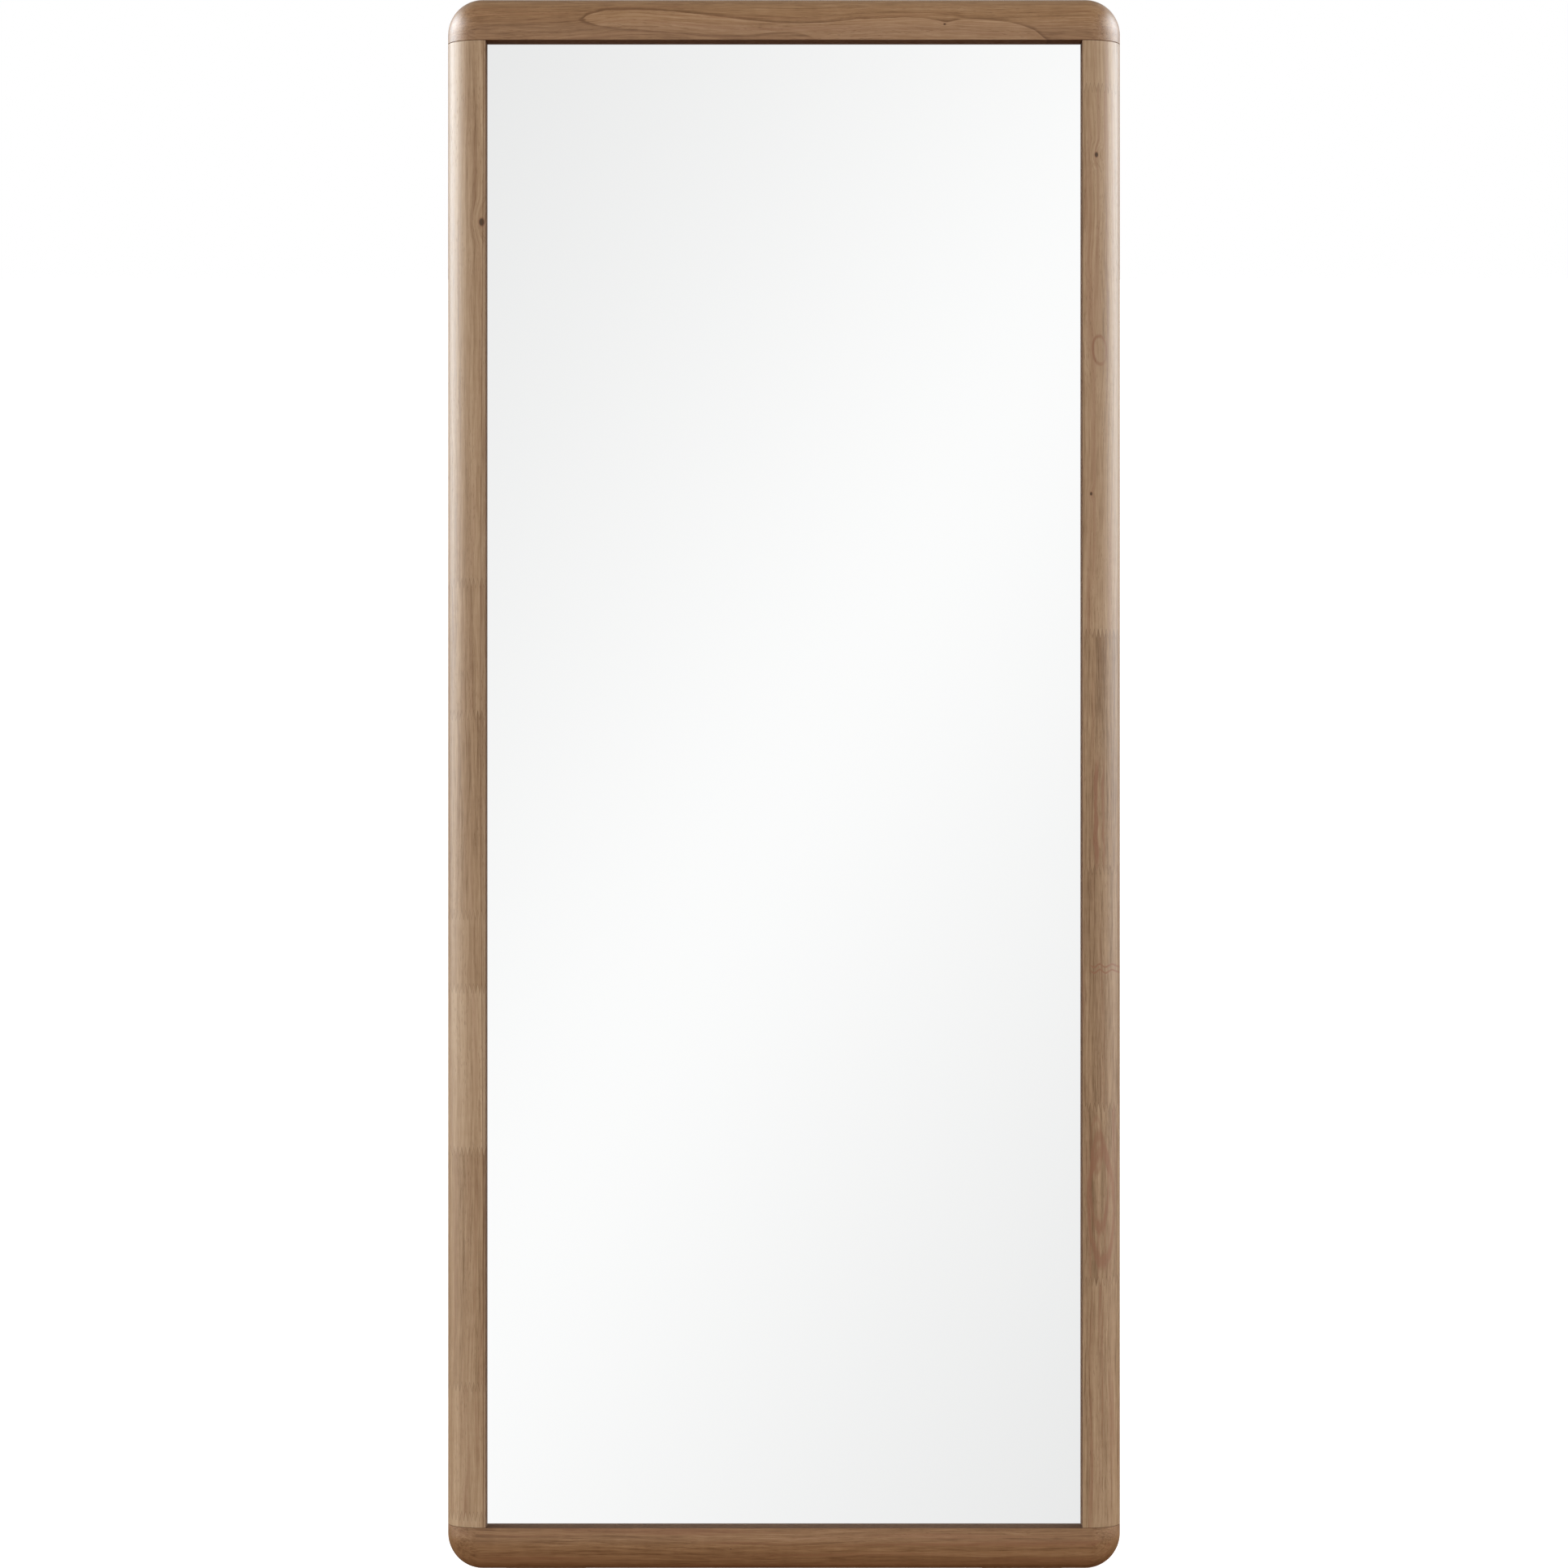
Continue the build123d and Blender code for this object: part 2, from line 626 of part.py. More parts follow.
for boot_name, side in (("left_leg_boot", -1), ("right_leg_boot", 1)):
    with BuildPart() as boot_hollow:
        with BuildSketch(leg_section(side * pivot_x, 0)):
            RectangleRounded(leg_width + 2 * seat_clearance, leg_thickness + 2 * seat_clearance,
                             leg_arris_radius)
        extrude(amount=-leg_length)
        split(bisect_by=Plane.XY.offset(boot_sole), keep=Keep.TOP)
    with BuildPart() as boot:
        with BuildSketch(leg_section(side * pivot_x, boot_height - leg_length)):
            RectangleRounded(leg_width + 2 * boot_wall, leg_thickness + 2 * boot_wall,
                             leg_arris_radius + boot_wall)
        extrude(amount=-2 * boot_height)
        split(bisect_by=Plane.XY, keep=Keep.TOP)
        add(boot_hollow.part, mode=Mode.SUBTRACT)
    save(boot.part, boot_name)

# ---- rubber strips that the frame stands on, and dots that the folded legs close against ----

for foot_name, side in (("left_frame_foot", -1), ("right_frame_foot", 1)):
    with BuildPart() as foot:
        with BuildSketch(face_plane(foot_front)):
            with Locations((side * foot_x, 0)):
                Rectangle(foot_length, 2 * foot_width, align=(Align.CENTER, Align.MAX))
        extrude(amount=-foot_width)
        split(bisect_by=Plane.XY, keep=Keep.TOP)
    save(foot.part, foot_name)

with BuildPart() as bumpers:
    for side in (-1, 1):
        for bumper_at in bumper_heights:
            with BuildSketch(behind_plane(side * pivot_x, bumper_at, frame_depth)):
                Circle(bumper_radius)
            bumper = extrude(amount=bumper_height)
            dome = bumper.edges().filter_by(GeomType.CIRCLE).sort_by(Axis(origin=(0, 0, 0), direction=back))
            fillet(dome[-1], radius=bumper_dome_radius)
save(bumpers.part, "fold_bumpers")
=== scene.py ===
"""A full-length dressing mirror in a hardwood frame that leans on a folding easel.

Everything is in metres, in the frame's own axes: X to the viewer's right, the glass facing -Y, Z up.
Left and right are the viewer's. "Depth" runs square into the mirror from its front face.
"""

import json
import math

import bmesh
import bpy
from mathutils import Matrix, Vector


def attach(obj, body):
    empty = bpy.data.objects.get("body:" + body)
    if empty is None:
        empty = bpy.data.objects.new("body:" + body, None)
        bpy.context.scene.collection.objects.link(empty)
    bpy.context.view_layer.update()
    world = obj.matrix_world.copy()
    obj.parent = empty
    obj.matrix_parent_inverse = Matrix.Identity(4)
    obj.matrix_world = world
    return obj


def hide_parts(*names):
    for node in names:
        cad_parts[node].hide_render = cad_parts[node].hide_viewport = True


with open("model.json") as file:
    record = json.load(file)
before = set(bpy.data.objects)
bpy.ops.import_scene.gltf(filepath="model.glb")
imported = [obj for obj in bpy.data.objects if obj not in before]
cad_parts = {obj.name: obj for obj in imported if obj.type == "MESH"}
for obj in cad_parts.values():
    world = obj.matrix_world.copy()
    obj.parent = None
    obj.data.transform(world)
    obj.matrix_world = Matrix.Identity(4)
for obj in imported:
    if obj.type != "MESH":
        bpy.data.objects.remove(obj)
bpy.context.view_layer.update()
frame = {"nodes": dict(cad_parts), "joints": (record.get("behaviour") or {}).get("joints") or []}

bl_info = {
    "name": "Cheval Floor Mirror",
    "version": (1, 0, 0),
    "blender": (4, 5, 0),
    "location": "View3D > Sidebar > Mirror",
    "description": "Makes the visible pieces of a full-length mirror around its packed frame",
    "category": "Object",
}

MM = 0.001
RIGHT = Vector((1, 0, 0))


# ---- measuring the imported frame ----

class Solid:
    """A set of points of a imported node, measured along any direction."""

    def __init__(self, points, origin=Vector((0, 0, 0))):
        self.points = points
        self.origin = origin

    def span(self, direction):
        """The lowest and highest place along a direction."""
        places = [(point - self.origin).dot(direction) for point in self.points]
        return min(places), max(places)

    def low(self, direction):
        return self.span(direction)[0]

    def high(self, direction):
        return self.span(direction)[1]

    def size(self, direction):
        return self.high(direction) - self.low(direction)

    def middle(self, direction):
        return sum(self.span(direction)) / 2


def widest_face_normal(node, towards):
    """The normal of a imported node's widest face that looks roughly in a direction."""
    facing = [face for face in frame["nodes"][node].data.polygons if face.normal.dot(towards) > 0.5]
    return max(facing, key=lambda face: face.area).normal.copy()


def joint_point(name):
    """Where the axis of a joint is."""
    return next(Vector(joint["pos_m"]) for joint in frame["joints"] if joint["name"] == name)


FRONT = widest_face_normal("mirror_glass", Vector((0, -1, 0)))
DEEPER = -FRONT
UP = FRONT.cross(RIGHT)
LEG_BACK = widest_face_normal("left_leg", Vector((0, 1, 0)))
LEG_UP = RIGHT.cross(LEG_BACK)
PIVOT = joint_point("easel_fold")
PIVOT.x = 0


def whole(node, origin=Vector((0, 0, 0))):
    """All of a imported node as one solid."""
    return Solid([vertex.co.copy() for vertex in frame["nodes"][node].data.vertices], origin)


FRONT_CORNER = UP * whole("bottom_rail").low(UP) + DEEPER * whole("bottom_rail").low(DEEPER)


def measured(node):
    """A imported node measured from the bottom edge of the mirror's front face."""
    return whole(node, FRONT_CORNER)


def separate_solids(node):
    """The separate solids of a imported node, measured from the front face's bottom edge."""
    mesh = bmesh.new()
    mesh.from_mesh(frame["nodes"][node].data)
    bmesh.ops.remove_doubles(mesh, verts=mesh.verts, dist=1e-6)
    waiting = set(mesh.verts)
    found = []
    for start in list(mesh.verts):
        if start not in waiting:
            continue
        waiting.remove(start)
        reached = [start]
        for vertex in reached:
            for edge in vertex.link_edges:
                other = edge.other_vert(vertex)
                if other in waiting:
                    waiting.remove(other)
                    reached.append(other)
        found.append(Solid([vertex.co.copy() for vertex in reached], FRONT_CORNER))
    mesh.free()
    return found


FRAME_WIDTH = measured("bottom_rail").size(RIGHT)
FRAME_HEIGHT = measured("top_rail").high(UP)
FRAME_DEPTH = measured("bottom_rail").size(DEEPER)
RAIL_HEIGHT = measured("bottom_rail").high(UP)
STILE_WIDTH = measured("left_stile").size(RIGHT)
LIP_DEPTH = measured("mirror_glass").low(DEEPER)
REBATE = measured("left_stile").high(RIGHT) - measured("left_bead").low(RIGHT)
HALF_WIDTH = FRAME_WIDTH / 2
HALF_OPENING = HALF_WIDTH - STILE_WIDTH
HALF_REBATE = HALF_OPENING + REBATE
MIDDLE_HEIGHT = FRAME_HEIGHT / 2


# ---- what a user would change ----

def length(name, description, millimetres):
    """A size of the mirror, in metres."""
    return bpy.props.FloatProperty(
        name=name, description=description, default=millimetres * MM, min=0, precision=4, unit="LENGTH")


def colour(name, description, red, green, blue):
    """A finish's colour."""
    return bpy.props.FloatVectorProperty(
        name=name, description=description, default=(red, green, blue), min=0, max=1, size=3, subtype="COLOR")


class MirrorSizes(bpy.types.PropertyGroup):
    """Sizes of the finishing details."""

    edge_radius: length("Edge radius", "Quarter-round along the frame's outer front edge", 38)
    corner_radius: length("Corner radius", "Corners of the frame, seen from the front", 40)
    back_arris: length("Back arris", "Rounding of the frame's outer back edge", 2)
    eased_edge: length("Eased edge", "Sanding of the sharp wooden edges", 0.6)
    hand_facet: length("Hand-sanded facet", "Widest place of the facet inside the left stile", 6)
    glass_arris: length("Glass arris", "Ground edge of the glass", 1)
    bead_chamfer: length("Bead chamfer", "Chamfer on the beads' inner back edge", 3)
    plate_ease: length("Plate edge", "Rounding of the stamped steel edges", 0.35)
    brace_width: length("Brace width", "Width of each arm of a corner brace", 16)
    brace_heel: length("Brace heel", "Rounding of a corner brace's outer corner", 14)
    strip_corner: length("Strip corner", "Rounding of the steel plates' corners", 4)
    bracket_plate: length("Bracket plate", "Sheet that the pivot brackets are pressed from", 2.5)
    cheek_radius: length("Cheek radius", "Round top of the pivot brackets' cheeks", 13)
    bolt_radius: length("Bolt radius", "Shank of the pivot bolts", 4)
    screw_head: length("Screw head", "Radius of the countersunk heads", 3.9)
    screw_shank: length("Screw shank", "Radius of the screws' shanks", 2)
    ring_wire: length("Ring wire", "Radius of the wire of the D-rings", 1.75)
    ring_width: length("Ring width", "Clear width inside the D-rings", 20)
    strap_sheet: length("Strap sheet", "Thickness of the hanger straps", 2)
    leg_arris: length("Leg arris", "Rounding of the easel legs' long edges", 2.5)
    cross_rail_arris: length("Cross rail arris", "Rounding of the cross rails' long edges", 2)
    boot_wall: length("Boot wall", "Rubber round the ends of the legs", 2.5)
    boot_sole: length("Boot sole", "Rubber under the ends of the legs", 4)
    finger_length: length("Finger length", "Length of the finger joints' teeth", 11)
    finger_pitch: length("Finger pitch", "Distance from tooth to tooth", 4.6)


class MirrorColours(bpy.types.PropertyGroup):
    """Colours of the finishes."""

    stile_dark: colour("Stile, dark grain", "Darkest streaks of the stiles", 0.185, 0.105, 0.047)
    stile_mid: colour("Stile", "Body of the stiles' wood", 0.365, 0.243, 0.138)
    stile_light: colour("Stile, pale grain", "Palest streaks of the stiles", 0.480, 0.350, 0.222)
    rail_dark: colour("Rail, dark grain", "Darkest streaks of the rails", 0.165, 0.085, 0.038)
    rail_mid: colour("Rail", "Body of the rails' wood", 0.312, 0.181, 0.090)
    rail_light: colour("Rail, pale grain", "Palest streaks of the rails", 0.430, 0.280, 0.165)
    heartwood: colour("Heartwood", "Reddish streaks", 0.270, 0.128, 0.068)
    # Painted shade on the lips and the ledge beside the glass, and the joints' glue lines
    lip_shade_and_glue: colour("Lip shade and glue", "Painted shade on the lips and the joints' glue lines", 0.110, 0.046, 0.018)
    easel_dark: colour("Easel, dark grain", "Darkest streaks of the easel", 0.190, 0.110, 0.058)
    easel_mid: colour("Easel", "Body of the easel's wood", 0.355, 0.235, 0.142)
    easel_light: colour("Easel, pale grain", "Palest streaks of the easel", 0.480, 0.345, 0.225)
    fibreboard: colour("Fibreboard", "Smooth face of the backing board", 0.205, 0.128, 0.072)
    silver: colour("Silvering", "Tone of the mirror's silver", 0.965, 0.970, 0.968)
    glass_edge: colour("Glass edge", "Ground edge of the glass", 0.120, 0.260, 0.200)
    back_paint: colour("Back paint", "Paint that seals the silvering", 0.060, 0.075, 0.085)
    zinc: colour("Zinc", "Zinc-plated sheet steel", 0.560, 0.575, 0.590)
    steel: colour("Steel", "Bright plated fasteners", 0.620, 0.615, 0.600)
    rubber: colour("Rubber", "Boots, feet and dots", 0.022, 0.022, 0.023)
    foot: colour("Foot", "Pale rubber under the frame", 0.560, 0.550, 0.530)
    nylon: colour("Nylon", "Washers beside the legs", 0.740, 0.730, 0.690)
    brass: colour("Brass", "Sleeves in the legs", 0.640, 0.440, 0.180)
    foam: colour("Foam tape", "Strips behind the glass", 0.045, 0.045, 0.048)
    dowel: colour("Dowel", "Beech dowels", 0.560, 0.380, 0.230)


class MirrorStudio(bpy.types.PropertyGroup):
    """The camera and the light."""

    camera_distance: bpy.props.FloatProperty(
        name="Camera distance", description="From the mirror's front face to the camera",
        default=round(2.925 * FRAME_HEIGHT, 2), min=1, unit="LENGTH")
    picture_fill: bpy.props.FloatProperty(
        name="Picture fill", description="Share of the picture's height that the mirror takes",
        default=1.0, min=0.1, max=1, subtype="FACTOR")
    floor_size: bpy.props.FloatProperty(
        name="Floor size", description="Side of the pale floor", default=60, min=1, unit="LENGTH")
    front_light: bpy.props.FloatProperty(
        name="Front light", description="Brightness of the light from the front", default=1.35, min=0)
    side_light: bpy.props.FloatProperty(
        name="Side light", description="Brightness of the light from both sides", default=0.95, min=0)
    panel_light: bpy.props.FloatProperty(
        name="Panel light", description="Brightness of the panels that shine along the edges",
        default=14, min=0)


def sizes():
    return bpy.context.scene.mirror_sizes


def tones():
    return bpy.context.scene.mirror_colours


def studio():
    return bpy.context.scene.mirror_studio


# ---- places: matrices from a shape's own axes to the frame's ----

def axes(origin, x, y, z):
    """The place with this origin and these three unit directions."""
    return Matrix.Translation(origin) @ Matrix((x, y, z)).transposed().to_4x4()


def frame_point(x, height, depth):
    """A point given across, up and into the mirror."""
    return FRONT_CORNER + RIGHT * x + UP * height + DEEPER * depth


def facing_front(x=0.0, height=0.0, depth=0.0):
    """X to the right, Y up the mirror, Z out of its face."""
    return axes(frame_point(x, height, depth), RIGHT, UP, FRONT)


def facing_back(x, height, depth):
    """X to the left, Y up the mirror, Z out of its back."""
    return axes(frame_point(x, height, depth), -RIGHT, UP, DEEPER)


def facing_side(x, height, depth, side=1):
    """X into the mirror (or out of it), Y up the mirror, Z to the right (or the left)."""
    return axes(frame_point(x, height, depth), DEEPER * side, UP, RIGHT * side)


def leg_point(x, along, deep):
    """A point given across, up the leg from the pivot, and back."""
    return PIVOT + RIGHT * x + LEG_UP * along + LEG_BACK * deep


# ---- outlines ----

def arc(centre, radius, start, end, steps):
    """Points along an arc, both ends included; the angles are in degrees."""
    points = []
    for step in range(steps + 1):
        angle = math.radians(start + (end - start) * step / steps)
        points.append(Vector((centre[0] + radius * math.cos(angle), centre[1] + radius * math.sin(angle))))
    return points


def circle(centre, radius, sides):
    return arc(centre, radius, 0, 360 - 360 / sides, sides - 1)


def level(outline, height):
    """The outline's points at one height."""
    return [(point.x, point.y, height) for point in outline]


def rounded(corners, radii, steps=6):
    """A closed outline with its corners rounded, each by its own radius."""
    outline = []
    for index, corner in enumerate(corners):
        here = Vector(corner)
        to_last = (Vector(corners[index - 1]) - here).normalized()
        to_next = (Vector(corners[(index + 1) % len(corners)]) - here).normalized()
        radius = radii[index]
        if radius == 0:
            outline.append(here)
            continue
        half_angle = to_last.angle(to_next) / 2
        centre = here + (to_last + to_next).normalized() * radius / math.sin(half_angle)
        first = here + to_last * radius / math.tan(half_angle) - centre
        last = here + to_next * radius / math.tan(half_angle) - centre
        turn = first.angle_signed(last)
        for step in range(steps + 1):
            spoke = first.copy()
            spoke.rotate(Matrix.Rotation(-turn * step / steps, 2))
            outline.append(centre + spoke)
    return outline


def rectangle(width, height, radius=0.0, steps=6):
    """A rectangle about the origin, with rounded corners."""
    x = width / 2
    y = height / 2
    return rounded([(-x, -y), (x, -y), (x, y), (-x, y)], [radius] * 4, steps)


def inset(outline, distance):
    """The outline moved inwards by the same distance all round."""
    area = sum(a.cross(b) for a, b in zip(outline, outline[1:] + outline[:1]))
    turn = 1 if area > 0 else -1
    moved = []
    for index, point in enumerate(outline):
        before = (point - outline[index - 1]).normalized()
        after = (outline[(index + 1) % len(outline)] - point).normalized()
        first = Vector((-before.y, before.x)) * turn
        second = Vector((-after.y, after.x)) * turn
        moved.append(point + (first + second) * distance / (1 + first.dot(second)))
    return moved


# ---- making a piece ----

BORE_SIDES = 24


class Stock:
    """The stock that one piece is made from. Shapes are added to it and put in their places."""

    def __init__(self):
        self.mesh = bmesh.new()
        self.placed = 0

    def put(self, place):
        """Moves what was added since the last call to its place."""
        self.mesh.verts.ensure_lookup_table()
        bmesh.ops.transform(self.mesh, matrix=place, verts=self.mesh.verts[self.placed:])
        self.placed = len(self.mesh.verts)

    def ring(self, points):
        return [self.mesh.verts.new(point) for point in points]

    def hoop(self, radius, height, sides, centre=(0, 0)):
        """A round ring at a height."""
        return self.ring(level(circle(centre, radius, sides), height))

    def skin(self, first, second):
        """Faces between two rings with as many points each."""
        for index in range(len(first)):
            after = (index + 1) % len(first)
            self.mesh.faces.new((first[index], first[after], second[after], second[index]))

    def draw_out(self, last, profile, sides):
        """Carries the skin on from a ring through hoops of (radius, height). The last hoop comes back."""
        for radius, height in profile:
            hoop = self.hoop(radius, height, sides)
            self.skin(last, hoop)
            last = hoop
        return last

    def loft(self, rows, capped=True):
        """A skin over rows of points."""
        rings = [self.ring(row) for row in rows]
        for first, second in zip(rings, rings[1:]):
            self.skin(first, second)
        if capped:
            self.mesh.faces.new(rings[0])
            self.mesh.faces.new(rings[-1])
        return rings

    def turned(self, profile, sides=32):
        """A profile of (radius, height) turned about Z. A radius of 0 closes it to a point."""
        rings = []
        for radius, height in profile:
            rings.append(self.hoop(radius, height, sides) if radius else self.ring([(0, 0, height)]))
        for first, second in zip(rings, rings[1:]):
            if len(first) == 1 and len(second) == 1:
                continue
            if len(first) == 1 or len(second) == 1:
                tip, rim = (first[0], second) if len(first) == 1 else (second[0], first)
                for index in range(sides):
                    self.mesh.faces.new((tip, rim[index], rim[(index + 1) % sides]))
            else:
                self.skin(first, second)

    def turned_ring(self, profile, sides=32):
        """A closed profile of (radius, height) turned about Z, with a hole through its middle."""
        rings = [self.hoop(radius, height, sides)
                 for radius, height in profile]
        for first, second in zip(rings, rings[1:] + rings[:1]):
            self.skin(first, second)

    def fill(self, rings):
        """A flat face inside the first ring and outside the others."""
        edges = []
        for ring in rings:
            for first, second in zip(ring, ring[1:] + ring[:1]):
                edges.append(self.mesh.edges.get((first, second)) or self.mesh.edges.new((first, second)))
        bmesh.ops.triangle_fill(self.mesh, use_beauty=True, edges=edges)

    def plate(self, outline, thickness, ease, holes=()):
        """A flat plate from Z = 0 to its thickness. A hole is (centre, radius below, radius above)."""
        low = level(inset(outline, ease), 0)
        low_side = level(outline, ease)
        high_side = level(outline, thickness - ease)
        high = level(inset(outline, ease), thickness)
        rings = self.loft([low, low_side, high_side, high], not holes)
        if not holes:
            return
        below = [rings[0]]
        above = [rings[-1]]
        for centre, radius_below, radius_above in holes:
            below.append(self.hoop(radius_below, 0, BORE_SIDES, centre))
            above.append(self.hoop(radius_above, thickness, BORE_SIDES, centre))
            self.skin(below[-1], above[-1])
        self.fill(below)
        self.fill(above)

    def tube(self, points, radius, sides=16):
        """A round wire along a closed line."""
        rings = []
        count = len(points)
        side = None
        for index, point in enumerate(points):
            ahead = (points[(index + 1) % count] - points[index - 1]).normalized()
            side = ahead.orthogonal() if side is None else side - ahead * side.dot(ahead)
            side.normalize()
            other = ahead.cross(side)
            rings.append(self.ring([point + side * p.x + other * p.y for p in circle((0, 0), radius, sides)]))
        for first, second in zip(rings, rings[1:] + rings[:1]):
            self.skin(first, second)

    def sharp_edges(self, angle=35):
        """The edges where two faces meet at more than an angle in degrees."""
        bmesh.ops.recalc_face_normals(self.mesh, faces=self.mesh.faces)
        limit = math.radians(angle)
        return [edge for edge in self.mesh.edges if edge.is_manifold and edge.calc_face_angle(0) > limit]

    def ease(self, edges, radius, segments=2):
        """Rounds edges."""
        bmesh.ops.bevel(self.mesh, geom=edges, offset=radius, offset_type="OFFSET", segments=segments,
                        profile=0.5, affect="EDGES", clamp_overlap=False)

    def put_in_order(self):
        """Sorts the parts by where they are, because a bevel leaves them in no fixed order."""
        way = Vector((1.0, 0.713, 0.417))
        self.mesh.verts.sort(key=lambda vertex: vertex.co.dot(way))
        self.mesh.edges.sort(key=lambda edge: (edge.verts[0].co + edge.verts[1].co).dot(way))
        self.mesh.faces.sort(key=lambda face: face.calc_center_median().dot(way))

    def cut(self, point, outward):
        """Saws the piece along a plane and closes the cut. What lies outward is waste."""
        parts = self.mesh.verts[:] + self.mesh.edges[:] + self.mesh.faces[:]
        made = bmesh.ops.bisect_plane(self.mesh, geom=parts, plane_co=point, plane_no=outward,
                                      clear_outer=True)
        rim = [part for part in made["geom_cut"] if isinstance(part, bmesh.types.BMEdge)]
        bmesh.ops.contextual_create(self.mesh, geom=rim)


def as_object(stock, name):
    """Turns the stock into an object of its own."""
    bmesh.ops.recalc_face_normals(stock.mesh, faces=stock.mesh.faces)
    mesh = bpy.data.meshes.new(name)
    stock.mesh.to_mesh(mesh)
    stock.mesh.free()
    made = bpy.data.objects.new(name, mesh)
    bpy.context.scene.collection.objects.link(made)
    return made


def finish_piece(stock, node, body, finish, smooth_angle=32, extra=False):
    """Turns the stock into a piece that rides on a body and stands for its node, unless it is extra."""
    piece = as_object(stock, node if extra else "finished_" + node)
    piece.data.shade_smooth()
    piece.data.set_sharp_from_angle(angle=math.radians(smooth_angle))
    piece.data.materials.append(finish)
    shading = piece.modifiers.new("Even shading", "WEIGHTED_NORMAL")
    shading.keep_sharp = True
    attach(piece, body)
    if not extra:
        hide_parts(node)
    return piece


def bore(piece, cutter_stock):
    """Cuts holes in a piece with the stock's shape."""
    cutter = as_object(cutter_stock, "cutter")
    cut = piece.modifiers.new("Bore", "BOOLEAN")
    cut.operation = "DIFFERENCE"
    cut.solver = "EXACT"
    cut.object = cutter
    while piece.modifiers[0] != cut:
        piece.modifiers.move(len(piece.modifiers) - 1, 0)
    shading = [modifier for modifier in piece.modifiers if modifier != cut]
    for modifier in shading:
        modifier.show_viewport = False
    graph = bpy.context.evaluated_depsgraph_get()
    bored = bpy.data.meshes.new_from_object(piece.evaluated_get(graph))
    for modifier in shading:
        modifier.show_viewport = True
    piece.modifiers.remove(cut)
    bored.name = piece.data.name + "_bored"
    piece.data = bored
    bpy.data.objects.remove(cutter)


# ---- shader maths ----

class Signal:
    """A number or colour that varies over a surface. Sums with numbers add Math nodes."""

    def __init__(self, bench, socket):
        self.bench = bench
        self.socket = socket

    def math(self, operation, *values):
        return self.bench.node("ShaderNodeMath", {"operation": operation}, dict(enumerate(values)))

    def __add__(self, other):
        return self.math("ADD", self, other)

    def __radd__(self, other):
        return self.math("ADD", other, self)

    def __sub__(self, other):
        return self.math("SUBTRACT", self, other)

    def __rsub__(self, other):
        return self.math("SUBTRACT", other, self)

    def __mul__(self, other):
        return self.math("MULTIPLY", self, other)

    def __rmul__(self, other):
        return self.math("MULTIPLY", other, self)

    def __truediv__(self, other):
        return self.math("DIVIDE", self, other)

    def __rtruediv__(self, other):
        return self.math("DIVIDE", other, self)

    def __pow__(self, other):
        return self.math("POWER", self, other)

    def __gt__(self, other):
        return self.math("GREATER_THAN", self, other)

    def __abs__(self):
        return self.math("ABSOLUTE", self)

    def at_least(self, other):
        return self.math("MAXIMUM", self, other)

    def at_most(self, other):
        return self.math("MINIMUM", self, other)

    def sine(self):
        return self.math("SINE", self)

    def fraction(self):
        return self.math("FRACT", self)

    def back_and_forth(self, reach):
        """Up to a reach and down again, over and over."""
        return self.math("PINGPONG", self, reach)

    def rise(self, low, high):
        """0 below low, 1 above high, and smooth between them."""
        return self.bench.node("ShaderNodeMapRange", {"interpolation_type": "SMOOTHSTEP"},
                               {"Value": self, "From Min": low, "From Max": high})

    def fall(self, low, high):
        """1 below low, 0 above high, and smooth between them."""
        return 1 - self.rise(low, high)


